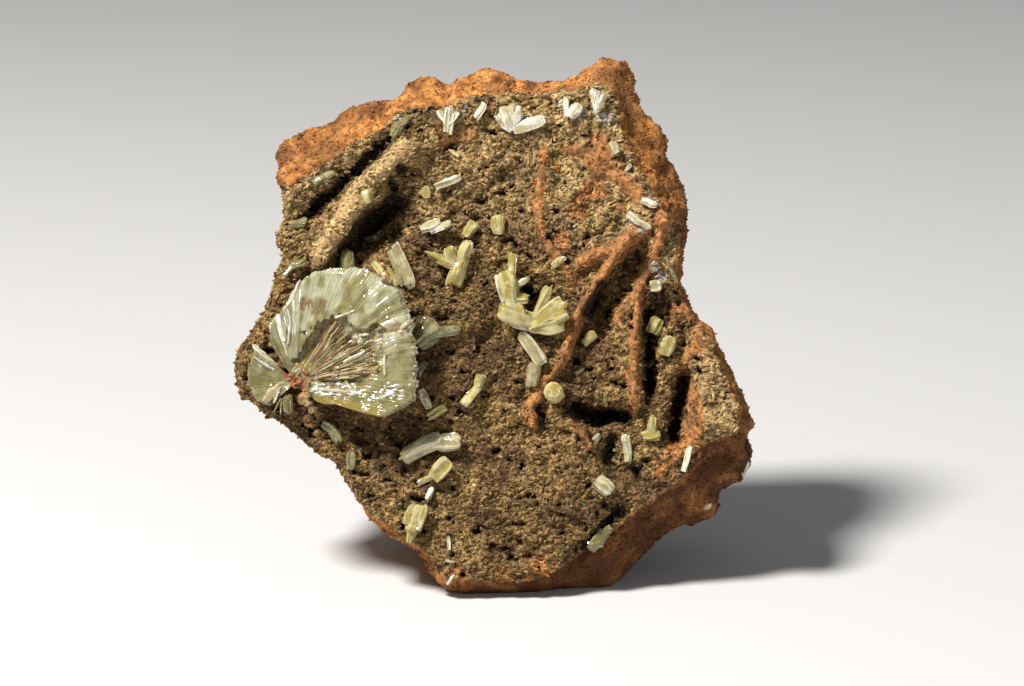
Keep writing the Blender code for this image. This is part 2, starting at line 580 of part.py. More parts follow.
def clearance(piece, stone, stone_tree):
    """The least distance between a piece and the stone, or less than 0 where they cross."""
    tree = tree_of(piece)
    if tree.overlap(stone_tree):
        return -1.0
    least = min(stone_tree.find_nearest(vertex.co)[3] for vertex in piece.data.vertices)
    low, high = Vector(piece.bound_box[0]), Vector(piece.bound_box[6])
    for vertex in stone.data.vertices:
        near = all(low[i] - 1 < vertex.co[i] < high[i] + 1 for i in range(3))
        if near:
            least = min(least, tree.find_nearest(vertex.co)[3])
    return least


def seat(piece, stone, stone_tree):
    """Moves a piece out from the stone until it is clear of it by the gap."""
    while clearance(piece, stone, stone_tree) < GAP:
        piece.data.transform(Matrix.Translation((0, 0, SEAT_STEP)))


def spray(stone_tree):
    """The large fan: blades that spread from one centre, rising toward the right."""
    hub_out = out_at(stone_tree, SPRAY_HUB) + SPRAY_HUB_RISE
    blades = []
    for index, (angle, reach, width, rise) in enumerate(SPRAY_BLADES + SPRAY_UNDER_BLADES):
        direction = Vector((math.cos(math.radians(angle)), math.sin(math.radians(angle))))
        tip = Vector(SPRAY_HUB) + direction * reach
        root = Vector(SPRAY_HUB) - direction * SPRAY_OVERLAP
        thickness = SPRAY_THICKNESS * min(1.0, reach / SPRAY_THINNER_UNDER)
        roll = SPRAY_ROLL * math.sin(SPRAY_ROLL_TURN * index)
        blades.append(
            placed_blade(root, tip, width, thickness, rise, hub_out, roll, SPRAY_ROOT_SHARE)
        )
    return grown_together("adamite_spray", blades)


def crystal(name, table, stone_tree):
    """One crystal or one group, seated where it shows on the stone."""
    blades = []
    lift = max(out_at(stone_tree, place) for row in table for place in row[:2])
    for root, tip, width, rise in table:
        blades.append(placed_blade(root, tip, width, width * FLATNESS, rise, lift))
    return grown_together("crystal_" + name, blades)


def finish(piece, colour, roughness, collection, stand):
    """Gives a piece its material and real size, and leans it back with the stone."""
    material = bpy.data.materials.new(piece.name)
    material.use_nodes = True
    shader = material.node_tree.nodes["Principled BSDF"]
    shader.inputs["Base Color"].default_value = (*colour, 1)
    shader.inputs["Roughness"].default_value = roughness
    shader.inputs["Metallic"].default_value = 0
    piece.data.materials.clear()
    piece.data.materials.append(material)
    piece.data.transform(Matrix.Scale(MM, 4))
    for holder in piece.users_collection:
        holder.objects.unlink(piece)
    collection.objects.link(piece)
    piece.parent = stand


def build():
    """Shapes the stone, grows the crystals on it and stands the specimen on its base."""
    for piece in list(bpy.data.objects):
        bpy.data.objects.remove(piece)
    parts = bpy.data.collections.new("adamite_specimen")
    bpy.context.scene.collection.children.link(parts)
    stand = bpy.data.objects.new("lean", None)
    stand.location = Vector((MIDDLE_TO_CENTRE_X, FACE_MIDDLE_Y, BASE_BELOW_MIDDLE)) * MM
    stand.rotation_euler = (math.radians(90) - LEAN, 0, 0)
    parts.objects.link(stand)

    stone = slab()
    carve(stone)
    thin_out(stone, MATRIX_TRIANGLES)
    cut_base(stone)
    stone_tree = tree_of(stone)
    grown = [spray(stone_tree)]
    grown += [crystal(name, table, stone_tree) for name, table in CRYSTALS.items()]
    finish(stone, STONE_BROWN, STONE_ROUGHNESS, parts, stand)
    for piece in grown:
        seat(piece, stone, stone_tree)
        pale = piece.name.removeprefix("crystal_") in PALE_CRYSTALS
        colour = ADAMITE_PALE if pale else ADAMITE_GREEN
        finish(piece, colour, CRYSTAL_ROUGHNESS, parts, stand)


build()
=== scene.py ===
import math

import bpy
import numpy as np
from mathutils import Matrix, Vector
from mathutils.bvhtree import BVHTree


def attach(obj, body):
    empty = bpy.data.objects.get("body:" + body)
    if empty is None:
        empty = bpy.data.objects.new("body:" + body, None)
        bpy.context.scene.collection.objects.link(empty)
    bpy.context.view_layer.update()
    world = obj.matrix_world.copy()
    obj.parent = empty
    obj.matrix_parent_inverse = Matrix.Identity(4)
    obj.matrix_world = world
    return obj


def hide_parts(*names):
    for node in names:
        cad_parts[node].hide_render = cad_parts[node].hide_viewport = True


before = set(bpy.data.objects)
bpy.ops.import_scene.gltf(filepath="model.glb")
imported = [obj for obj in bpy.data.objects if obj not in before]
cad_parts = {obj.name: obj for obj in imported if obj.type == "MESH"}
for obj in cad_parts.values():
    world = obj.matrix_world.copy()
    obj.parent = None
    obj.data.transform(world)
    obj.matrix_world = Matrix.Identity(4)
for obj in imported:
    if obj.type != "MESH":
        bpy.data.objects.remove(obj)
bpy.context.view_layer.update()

bpy.ops.object.select_all(action="DESELECT")


# THE STONE
# A block of limonite, broken off the wall of an oxidised zinc vein. Its front is an open seam,
# crusted with brown crumb; thin walls of orange rust stand out of it, and the rim is fresh break.

# The seam is worked on lying flat, in millimetres: x to its right, y up it, z out of the stone
LEAN = math.radians(14)
SEAM_MIDDLE = Vector((0.001404, -0.007064, 0.021))
STANDING = (
    Matrix.Translation(SEAM_MIDDLE)
    @ Matrix.Rotation(math.radians(90) - LEAN, 4, "X")
    @ Matrix.Scale(0.001, 4)
)
SEEN_FROM = 350.0


def new_piece(name, mesh):
    piece = bpy.data.objects.new(name, mesh)
    bpy.context.scene.collection.objects.link(piece)
    return piece


def work_on(piece):
    """Makes one piece the only selected and active one."""
    bpy.ops.object.select_all(action="DESELECT")
    piece.select_set(True)
    bpy.context.view_layer.objects.active = piece


def set_mode(mode):
    bpy.ops.object.mode_set(mode=mode)


def table_of(items, kind):
    flat = np.empty(len(items) * 3, np.float32)
    items.foreach_get(kind, flat)
    return flat.reshape(-1, 3).astype(float)


def points_of(piece):
    return table_of(piece.data.vertices, "co")


def normals_of(piece):
    return table_of(piece.data.vertex_normals, "vector")


def move_points(piece, points):
    piece.data.vertices.foreach_set("co", points.astype(np.float32).ravel())
    piece.data.update()


def seen(points):
    """Where points show on the seam, looking straight at it."""
    near = 1 - points[:, 2] / SEEN_FROM
    return points[:, 0] / near, points[:, 1] / near


def line_reach(x, y, line):
    """Distance from points to a line, and how far along it they lie, from 0 to 1."""
    best = np.full(x.shape, np.inf)
    along = np.zeros(x.shape)
    for index, ((ax, ay), (bx, by)) in enumerate(zip(line, line[1:])):
        dx, dy = bx - ax, by - ay
        share = (((x - ax) * dx + (y - ay) * dy) / (dx * dx + dy * dy)).clip(0, 1)
        distance = np.hypot(x - ax - share * dx, y - ay - share * dy)
        nearer = distance < best
        best = np.where(nearer, distance, best)
        along = np.where(nearer, (index + share) / (len(line) - 1), along)
    return best, along


def within(x, y, outline):
    """Signed distance into a closed outline, less than 0 outside it."""
    found = np.zeros(x.shape, bool)
    closed = outline + outline[:1]
    for (ax, ay), (bx, by) in zip(closed, closed[1:]):
        spans = (ay > y) != (by > y)
        rise = by - ay if by != ay else 1.0
        found ^= spans & (x < (bx - ax) * (y - ay) / rise + ax)
    distance = line_reach(x, y, closed)[0]
    return np.where(found, distance, -distance)


def soft(value, low, high):
    """0 below low, 1 above high and a soft step between them."""
    share = ((value - low) / (high - low)).clip(0, 1)
    return share * share * (3 - 2 * share)


def scatter(cells, salt):
    """An even random number from 0 to 1 for each whole-number cell."""
    a, b, c = (cells[..., i].astype(np.int64).astype(np.uint32) for i in range(3))
    mixed = a * np.uint32(73856093) ^ b * np.uint32(19349663) ^ c * np.uint32(83492791)
    mixed = mixed ^ np.uint32(salt * 2654435761 % 4294967296)
    mixed = (mixed ^ (mixed >> np.uint32(16))) * np.uint32(2246822519)
    mixed = (mixed ^ (mixed >> np.uint32(13))) * np.uint32(3266489917)
    return (mixed ^ (mixed >> np.uint32(16))) / 4294967296.0


def swell(points, size, salt=0):
    """Smooth random swelling from -1 to 1, with humps of one size."""
    where = points / size
    cell = np.floor(where)
    part = where - cell
    part = part**3 * (part * (part * 6 - 15) + 10)
    total = np.zeros(len(points))
    for corner in np.ndindex(2, 2, 2):
        weight = np.prod(np.where(corner, part, 1 - part), axis=1)
        total += weight * (scatter(cell + corner, salt) * 2 - 1)
    return total


def grains(points, size, salt=0):
    """Distance to the nearest and the next grain, as shares of their size, and its number."""
    where = points / size
    cell = np.floor(where)
    nearest = np.full(len(points), 9.0)
    second = np.full(len(points), 9.0)
    number = np.zeros(len(points))
    for corner in np.ndindex(3, 3, 3):
        near = cell + corner - 1
        centre = near + np.stack([scatter(near, salt + i) for i in range(3)], 1)
        distance = np.linalg.norm(where - centre, axis=1)
        closer = distance < nearest
        second = np.where(closer, nearest, np.minimum(second, distance))
        number = np.where(closer, scatter(near, salt + 5), number)
        nearest = np.where(closer, distance, nearest)
    return nearest, second, number


# The edge of the crumbly seam; outside it the rim is fresh orange break
SEAM_EDGE = [
    (-19.3, 12.9), (-16.6, 14.3), (-13.5, 16.7), (-11.0, 17.9), (-9.8, 19.1), (-8.0, 19.9),
    (-5.6, 19.9), (-4.4, 20.5), (-1.0, 20.8), (3.7, 20.9), (5.3, 21.2), (6.7, 21.7),
    (7.9, 21.5), (8.8, 20.5), (9.1, 18.1), (9.7, 16.1), (10.8, 14.3), (11.8, 12.8),
    (12.5, 11.2), (13.3, 10.6), (14.0, 8.9), (13.7, 5.2), (14.6, 2.5), (16.3, 0.8),
    (17.3, -1.6), (18.2, -3.7), (18.8, -5.3), (18.9, -7.6), (15.7, -8.5), (15.2, -10.6),
    (12.3, -12.7), (10.9, -13.7), (9.4, -14.8), (8.5, -15.8), (6.5, -17.2), (4.4, -18.4),
    (2.8, -19.6), (-1.0, -19.9), (-3.5, -19.8), (-5.3, -20.0), (-6.2, -18.9), (-6.8, -17.7),
    (-8.0, -16.7), (-10.0, -15.6), (-11.7, -14.3), (-12.7, -12.8), (-13.3, -11.4),
    (-14.1, -10.1), (-16.0, -8.7), (-18.7, -6.5), (-21.2, -4.8), (-22.2, -4.0), (-22.7, -2.5),
    (-22.3, -0.6), (-21.2, 1.1), (-20.1, 2.7), (-19.4, 5.1), (-18.8, 7.3), (-19.3, 8.8),
    (-18.7, 10.1), (-18.8, 12.0),
]

# Thin rust walls: how far they stand out, half width, then their line
RUST_WALLS = [
    (0.25, 0.30, [(2.8, 16.1), (2.2, 11.6), (2.4, 9.2), (3.1, 8.0), (5.1, 5.2)]),
    (0.25, 0.28, [(4.3, 16.1), (7.3, 15.5)]),
    (0.40, 0.35, [(5.8, 6.8), (8.0, 7.9), (9.8, 8.8), (12.8, 10.7)]),
    (0.45, 0.38, [
        (9.8, 8.7), (8.7, 7.2), (7.3, 5.4), (6.3, 3.7), (5.4, 2.2), (4.8, 0.2), (4.3, -1.4),
        (3.4, -2.6), (2.5, -3.8), (1.7, -5.4), (1.8, -6.8),
    ]),
    (0.45, 0.34, [
        (12.8, 10.2), (11.6, 7.0), (10.8, 5.4), (10.6, 3.9), (10.5, 2.1), (10.3, -0.3),
        (10.1, -2.2), (10.2, -4.0), (10.1, -5.8),
    ]),
    (0.30, 0.28, [(10.6, 4.5), (8.7, 2.2)]),
    (0.40, 0.22, [(4.8, -6.2), (5.8, -7.4), (6.7, -8.7)]),
    (0.15, 0.22, [(13.8, -2.8), (15.0, -0.6), (16.0, 1.6)]),
    (0.15, 0.20, [(14.8, -1.2), (16.0, -0.1), (17.1, 0.4)]),
    (0.10, 0.45, [(7.3, 16.9), (8.3, 14.6), (9.6, 12.9), (11.3, 11.6), (12.6, 10.8)]),
    (0.05, 0.30, [(6.2, 16.0), (6.9, 14.2), (7.8, 12.3)]),
    (0.10, 0.50, [(7.0, 7.2), (8.6, 7.6), (10.6, 9.0), (12.2, 10.2)]),
    (0.05, 0.45, [(14.6, -3.4), (15.4, -5.0), (15.3, -7.2), (14.7, -9.0)]),
    (0.10, 0.40, [(18.6, -3.4), (19.3, -5.2), (19.9, -7.6)]),
    (0.05, 0.28, [(-3.2, 17.6), (-5.4, 16.9), (-6.2, 16.2)]),
]

# Open cracks and holes, black inside with painted shade: depth, half width, then their line
CRACKS = [
    (1.0, 0.55, [(-10.3, 16.8), (-13.8, 13.6), (-15.8, 11.8), (-17.5, 10.2)]),
    (1.6, 1.00, [(-13.6, 7.7), (-12.4, 9.2), (-11.2, 10.6), (-9.6, 11.6)]),
    (1.6, 0.75, [(5.4, -5.5), (6.6, -6.3), (7.9, -6.1), (9.4, -6.3)]),
    (1.6, 0.45, [(11.3, 2.6), (11.5, -0.6), (11.4, -4.0)]),
    (1.8, 0.60, [(14.2, -3.2), (13.8, -5.2), (13.5, -7.6)]),
    (0.7, 0.50, [(8.9, -13.9), (7.3, -15.8), (6.1, -17.1)]),
    (0.8, 0.40, [(-9.3, 14.6), (-9.1, 14.2)]),
    (0.8, 0.45, [(-10.1, 13.3), (-9.7, 13.0)]),
    (0.9, 0.50, [(6.3, 2.6), (6.9, 3.4), (7.4, 4.8)]),
    (0.8, 0.50, [(1.0, 4.6), (2.1, 3.6), (2.9, 4.6)]),
    (0.7, 0.45, [(2.3, -5.3), (2.6, -6.8)]),
    (0.7, 0.60, [(8.2, -8.0), (8.0, -9.6)]),
]

# The smooth sandy top of the fin at the upper left
FIN = [(-9.2, 16.3), (-12.0, 13.8), (-13.5, 11.2), (-14.9, 8.8), (-16.0, 7.3)]
FIN_HALF_WIDTH = 0.95

# The granular block at the right
BLOCK = [
    (15.5, 2.1), (16.7, 1.2), (17.8, -0.8), (18.6, -3.2), (19.7, -6.8), (19.2, -7.9),
    (17.8, -8.3), (16.0, -8.1), (15.4, -6.8), (15.2, -3.4), (14.3, -1.1),
]

# Patches of white-grey powder: place and size
POWDER = [
    ((4.3, 20.2), 0.5), ((5.0, 19.5), 0.5), ((5.7, 19.1), 0.45), ((7.2, 20.9), 0.45),
    ((7.1, 20.0), 0.5), ((7.7, 18.8), 0.5), ((6.9, 19.4), 0.4), ((11.3, 11.6), 0.5),
    ((9.9, 10.3), 0.45), ((11.0, 9.7), 0.5), ((-9.6, 18.6), 0.35), ((11.9, 6.4), 0.4),
    ((12.6, 5.6), 0.35), ((-3.9, 19.4), 0.3),
]

# Patches of bare orange rust away from the walls: place and size
RUST_PATCHES = [
    ((-5.9, 17.6), 0.8), ((-5.4, 17.0), 0.7), ((4.0, 14.4), 0.6), ((6.3, 12.9), 0.9),
    ((5.4, 11.2), 0.8), ((2.4, 13.6), 0.6), ((7.9, 13.8), 0.7), ((9.2, 11.4), 0.6),
    ((4.1, 8.6), 0.9), ((2.0, -5.9), 0.9), ((13.7, 2.7), 0.5), ((14.4, -6.8), 1.0),
    ((14.1, -8.9), 1.1), ((12.9, -10.3), 0.9), ((-4.4, -19.6), 1.0), ((-1.0, -19.7), 1.2),
    ((2.5, -19.2), 1.4), ((14.4, -4.2), 0.7), ((9.6, -2.4), 0.5), ((3.6, 3.2), 0.6),
]

# Darker, ochre-brown places on the broken rim
DARK_PATCHES = [
    ((-11.8, 19.8), 1.5), ((-19.1, 16.3), 1.1), ((-17.6, 17.0), 0.7), ((-8.1, 21.9), 0.9),
    ((10.0, 17.7), 0.9), ((11.9, 16.2), 1.3), ((12.9, 14.3), 1.1), ((13.8, 8.8), 1.6),
    ((-14.6, 18.2), 0.6), ((-1.0, 21.9), 0.5), ((1.5, 21.6), 0.6), ((9.3, 22.6), 0.7),
]

POINT_SPACING = 0.36
bpy.context.view_layer.update()
stone = new_piece("stone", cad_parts["matrix"].data.copy())
stone.data.transform(STANDING.inverted())
work_on(stone)
set_mode("EDIT")
bpy.ops.mesh.select_all(action="SELECT")
bpy.ops.mesh.remove_doubles(threshold=0.001)
bpy.ops.mesh.customdata_custom_splitnormals_clear()
set_mode("OBJECT")
for kind, settings in (
    ("REMESH", {"mode": "VOXEL", "voxel_size": POINT_SPACING}),
    ("SMOOTH", {"factor": 0.5, "iterations": 3}),
):
    bpy.ops.object.modifier_add(type=kind)
    for name, setting in settings.items():
        setattr(stone.modifiers[-1], name, setting)
    bpy.ops.object.modifier_apply(modifier=stone.modifiers[-1].name)


def stone_zones(points, normals):
    """How much each point belongs to the seam, rim, fin, block and walls, from 0 to 1."""
    x, y = seen(points)
    into = within(x, y, SEAM_EDGE)
    wander = swell(points, 1.3, 3) * 0.35 + swell(points, 0.5, 4) * 0.2
    into = into + 1.5 * soft(-x, 12.0, 14.0) * (1 - soft(y, 11.5, 13.5))
    facing = soft(normals[:, 2], -0.1, 0.25) * soft(points[:, 2], -7.5, -6.0)
    zones = {"seam": soft(into + wander * 0.6, -0.15, 0.25) * facing}
    fin = line_reach(x, y, FIN)[0] + wander * 0.35
    zones["fin"] = (1 - soft(fin, FIN_HALF_WIDTH - 0.2, FIN_HALF_WIDTH + 0.1)) * facing
    zones["block"] = soft(within(x, y, BLOCK) + wander * 0.3, -0.1, 0.3) * facing
    walls = np.zeros(len(points))
    for _, width, line in RUST_WALLS:
        distance, along = line_reach(x, y, line)
        distance = distance + wander * 0.30 + swell(points, 0.22, 7) * 0.08
        broad = width * (1.35 + 0.6 * swell(points, 1.7, 13))
        wall = (1 - soft(distance, broad * 0.75, broad * 1.35)) * (1.1 - 0.2 * along)
        walls = np.maximum(walls, wall)
    zones["walls"] = walls.clip(0, 1) * facing
    return zones


def over(points, patches, wander):
    """How much points lie on round patches with ragged edges."""
    x, y = seen(points)
    found = np.zeros(len(points))
    for (px, py), size in patches:
        distance = np.hypot(x - px, y - py) + wander * size
        found = np.maximum(found, 1 - soft(distance, size * 0.5, size * 1.2))
    return found


# The large forms are cut first: the walls' crests, and the open cracks
points, normals = points_of(stone), normals_of(stone)
x, y = seen(points)
fronting = soft(normals[:, 2], -0.1, 0.2) * soft(points[:, 2], -8.0, -6.0)
for height, width, line in RUST_WALLS:
    distance = line_reach(x, y, line)[0]
    distance = distance + swell(points, 0.9, 11) * 0.22 + swell(points, 0.4, 14) * 0.08
    broad = width * (1.15 + 0.5 * swell(points, 1.7, 13))
    crest = height * (0.85 + 0.6 * swell(points, 1.2, 15))
    points[:, 2] += crest * (1 - soft(distance, broad * 0.4, broad * 1.6)) * fronting
for depth, width, line in CRACKS:
    distance, along = line_reach(x, y, line)
    distance = distance + swell(points, 0.8, 12) * 0.25 * width
    ends = 0.6 + 0.4 * np.sin(np.pi * along)
    points[:, 2] -= depth * ends * (1 - soft(distance, width * 0.3, width * 1.2)) * fronting
move_points(stone, points)

# The sides and back are thinned to half their faces, and the front gets four times its own
normals = normals_of(stone)
x, y = seen(points)
front = (normals[:, 2] > 0.0) & (points[:, 2] > -6.5) & (within(x, y, SEAM_EDGE) > -1.0)
set_mode("EDIT")
bpy.ops.mesh.select_mode(type="VERT")
bpy.ops.mesh.select_all(action="DESELECT")
set_mode("OBJECT")
stone.data.vertices.foreach_set("select", front)
set_mode("EDIT")
bpy.ops.mesh.select_mode(type="FACE")
bpy.ops.mesh.select_all(action="INVERT")
bpy.ops.mesh.decimate(ratio=0.5)
bpy.ops.mesh.select_all(action="INVERT")
bpy.ops.mesh.subdivide(number_cuts=1, smoothness=0.0)
set_mode("OBJECT")

points, normals = points_of(stone), normals_of(stone)
zones = stone_zones(points, normals)
bare = np.maximum(zones["fin"] * 0.8, zones["walls"] * 0.8)
crumbly = zones["seam"] * (1 - bare)
broken = 1 - zones["seam"]

# Crumb: lumps, sloping grains and pits between them on the seam
CRUMB_SLOPE, CRUMB_STRETCH = math.radians(-14), (1.5, 0.85, 1.0)
tilted = points @ np.array(Matrix.Rotation(CRUMB_SLOPE, 3, "Z")) / CRUMB_STRETCH
clot, _, clot_number = grains(points, 1.3, 35)
ledges = 0.16 * swell(tilted / (2.6, 0.8, 1.0), 0.9, 24) * soft(-points[:, 1], 3.0, 8.0)
lumps = 0.16 * swell(points, 1.5, 21) + 0.17 * swell(points, 0.75, 22) + ledges
lumps += 0.26 * (0.45 - clot) + 0.10 * (clot_number - 0.5)
nearest, second, number = grains(tilted, 0.46, 31)
crumb = 0.26 * (0.5 - nearest) + 0.12 * (second - nearest) + 0.14 * (number - 0.5)
nearest_pit, _, pit_number = grains(tilted + 0.25 * swell(points, 0.6, 42)[:, None], 0.95, 41)
pit_width = nearest_pit / (0.55 + 1.1 * pit_number) + 0.25 * swell(points, 0.35, 43)
pits = -0.65 * (1 - soft(pit_width, 0.10, 0.50)) * (pit_number < 0.45)
sand = 0.05 * swell(points, 0.24, 23)
out = crumbly * (lumps + crumb + pits) + sand * (0.4 + crumbly)
out += zones["walls"] * (0.07 * swell(points, 0.33, 25) + 0.12 * (0.5 - nearest))

# Fresh break: chips with flat, tilted faces, and sand
nearest_chip, second_chip, chip = grains(points, 1.9, 51)
chips = 0.40 * (chip - 0.5) + 0.22 * swell(points, 1.1, 52) + 0.14 * swell(points, 0.5, 53)
small_chip, _, small_number = grains(points, 0.8, 55)
chips += 0.16 * (small_number - 0.5) + 0.10 * (0.5 - small_chip)
chips -= 0.12 * (1 - soft(second_chip - nearest_chip, 0.0, 0.12))
out += broken * (chips + 0.04 * swell(points, 0.25, 54))

# The flat base stays flat, and the seam grows more outwards than the rim does
FLAT_BELOW, FREE_ABOVE = 0.0002, 0.0012
standing = np.array([list(STANDING @ Vector(p)) for p in points])
out *= soft(standing[:, 2], FLAT_BELOW, FREE_ABOVE)
towards = normals * 0.6 + np.array([0, 0, 0.4]) * crumbly[:, None]
towards /= np.linalg.norm(towards, axis=1)[:, None]
points = points + towards * out[:, None]
move_points(stone, points)


def keep_values(piece, **values):
    """Stores numbers for each point, for the piece's material to read."""
    for name, value in values.items():
        attribute = piece.data.attributes.new(name, "FLOAT", "POINT")
        attribute.data.foreach_set("value", value.astype(np.float32))


# Browner stains on the face, with painted shade of its hollows: place and size
STAINS_AND_HOLLOW_SHADE = [
    ((-6.5, 6.5), 2.4), ((-4.5, 2.0), 3.4), ((-6.5, -2.5), 3.0), ((-1.5, -2.5), 2.6),
    ((-8.5, -7.0), 2.2), ((3.0, 3.4), 1.6), ((-10.5, -10.0), 2.0), ((-3.5, -6.0), 1.8),
    ((4.5, -5.0), 2.4), ((0.5, 4.5), 2.0), ((-9.0, 9.5), 2.4), ((9.0, -8.5), 2.0),
]


def stone_colours(points, normals):
    """Rust, paleness, and painted shade of cracks and hollows with brown stains, of the stone at
    each point, from 0 to 1.
    """
    x, y = seen(points)
    zones = stone_zones(points, normals)
    wander = swell(points, 1.1, 61) * 0.5 + swell(points, 0.45, 62) * 0.4
    rust = np.maximum(1 - zones["seam"], zones["walls"] * (0.75 + 0.25 * wander))
    rust = np.maximum(rust, over(points, RUST_PATCHES, wander))
    powder = over(points, POWDER, wander) * soft(normals[:, 2], -0.1, 0.3)
    high = soft(y, 5.0, 13.0) * (0.60 + 0.6 * soft(x, 1.0, 6.0)) * (0.55 + 0.9 * wander)
    low = 0.12 * soft(-y, 6.0, 11.0) * (0.6 + wander)
    pale = np.maximum(np.maximum(zones["fin"], zones["block"] * 0.8), np.maximum(high, low))
    pale = pale * (1 - zones["walls"])
    soot = np.zeros(len(points))
    # Painted shade down in the cracks
    for _, width, line in CRACKS:
        distance = line_reach(x, y, line)[0] + swell(points, 0.7, 63) * 0.25
        soot = np.maximum(soot, 1 - soft(distance, width * 0.6, width * 1.3))
    # Brown stains and painted shade of hollows darken the seam, off its walls and fin
    stain_and_shade = over(points, STAINS_AND_HOLLOW_SHADE, wander * 0.8) * (0.5 + 0.6 * swell(points, 0.8, 66))
    soot = np.maximum(soot, 0.55 * stain_and_shade * (1 - zones["walls"]) * (1 - zones["fin"]))
    wall = zones["seam"] + zones["walls"]
    soot = soot * zones["seam"]
    return rust.clip(0, 1), pale.clip(0, 1), soot, powder.clip(0, 1), wall.clip(0, 1)


# The crumb's height is kept for the material's painted shade down in its pits and painted light on
# its tops; bare places get one middle value
BARE_HEIGHT = 0.7
normals = normals_of(stone)
rust, pale, soot, powder, wall = stone_colours(points, normals)
grain_height = soft(crumb + pits + 0.7 * lumps, -0.42, 0.30)
x, y = seen(points)
# Painted shade on the rim: mostly at the lower right, where it faces down, also at the right and
# the far left; DARK_PATCHES add its ochre-brown places
shade = soft(x - y, 12.0, 19.0) * soft(-y, 5.0, 8.5)
shade = shade + 0.30 * soft(x, 10.0, 12.5) * soft(y, 3.0, 6.0)
shade = np.maximum(shade, 0.35 * soft(-x, 12.0, 14.0)) * broken
shade = np.maximum(shade, 0.7 * broken * over(points, DARK_PATCHES, swell(points, 0.9, 65) * 0.7))
stone_dark = (shade * (0.9 + 0.6 * swell(points, 1.4, 64))).clip(0, 1)
keep_values(stone, wall=wall, rust=rust, pale=pale, soot=soot, powder=powder, dark=stone_dark,
            height=grain_height * crumbly + (1 - crumbly) * BARE_HEIGHT)

bpy.ops.object.shade_smooth()
stone.data.transform(STANDING)


def node_adder(material):
    """Gives a function that adds a node, feeds its sockets and returns one of its outputs."""
    nodes, links = material.node_tree.nodes, material.node_tree.links

    def add(kind, output, feeds, **settings):
        node = nodes.new("ShaderNode" + kind)
        for name, setting in settings.items():
            setattr(node, name, setting)
        for socket, feed in feeds.items():
            if isinstance(feed, bpy.types.NodeSocket):
                links.new(feed, node.inputs[socket])
            else:
                node.inputs[socket].default_value = feed
        return node.outputs[output]

    return add


def kept(add, name):
    """A value that keep_values has stored on the piece."""
    return add("Attribute", "Fac", {}, attribute_name=name)


def ramp(add, factor, *stops):
    colour = add("ValToRGB", "Color", {"Fac": factor})
    steps = colour.node.color_ramp.elements
    while len(steps) < len(stops):
        steps.new(0.5)
    for step, (place, paint) in zip(steps, stops):
        step.position = place
        step.color = (*paint, 1)
    return colour


def mix(add, factor, a, b, kind="MIX"):
    a, b = ((*paint, 1) if isinstance(paint, tuple) else paint for paint in (a, b))
    return add("Mix", 2, {0: factor, 6: a, 7: b}, data_type="RGBA", blend_type=kind)


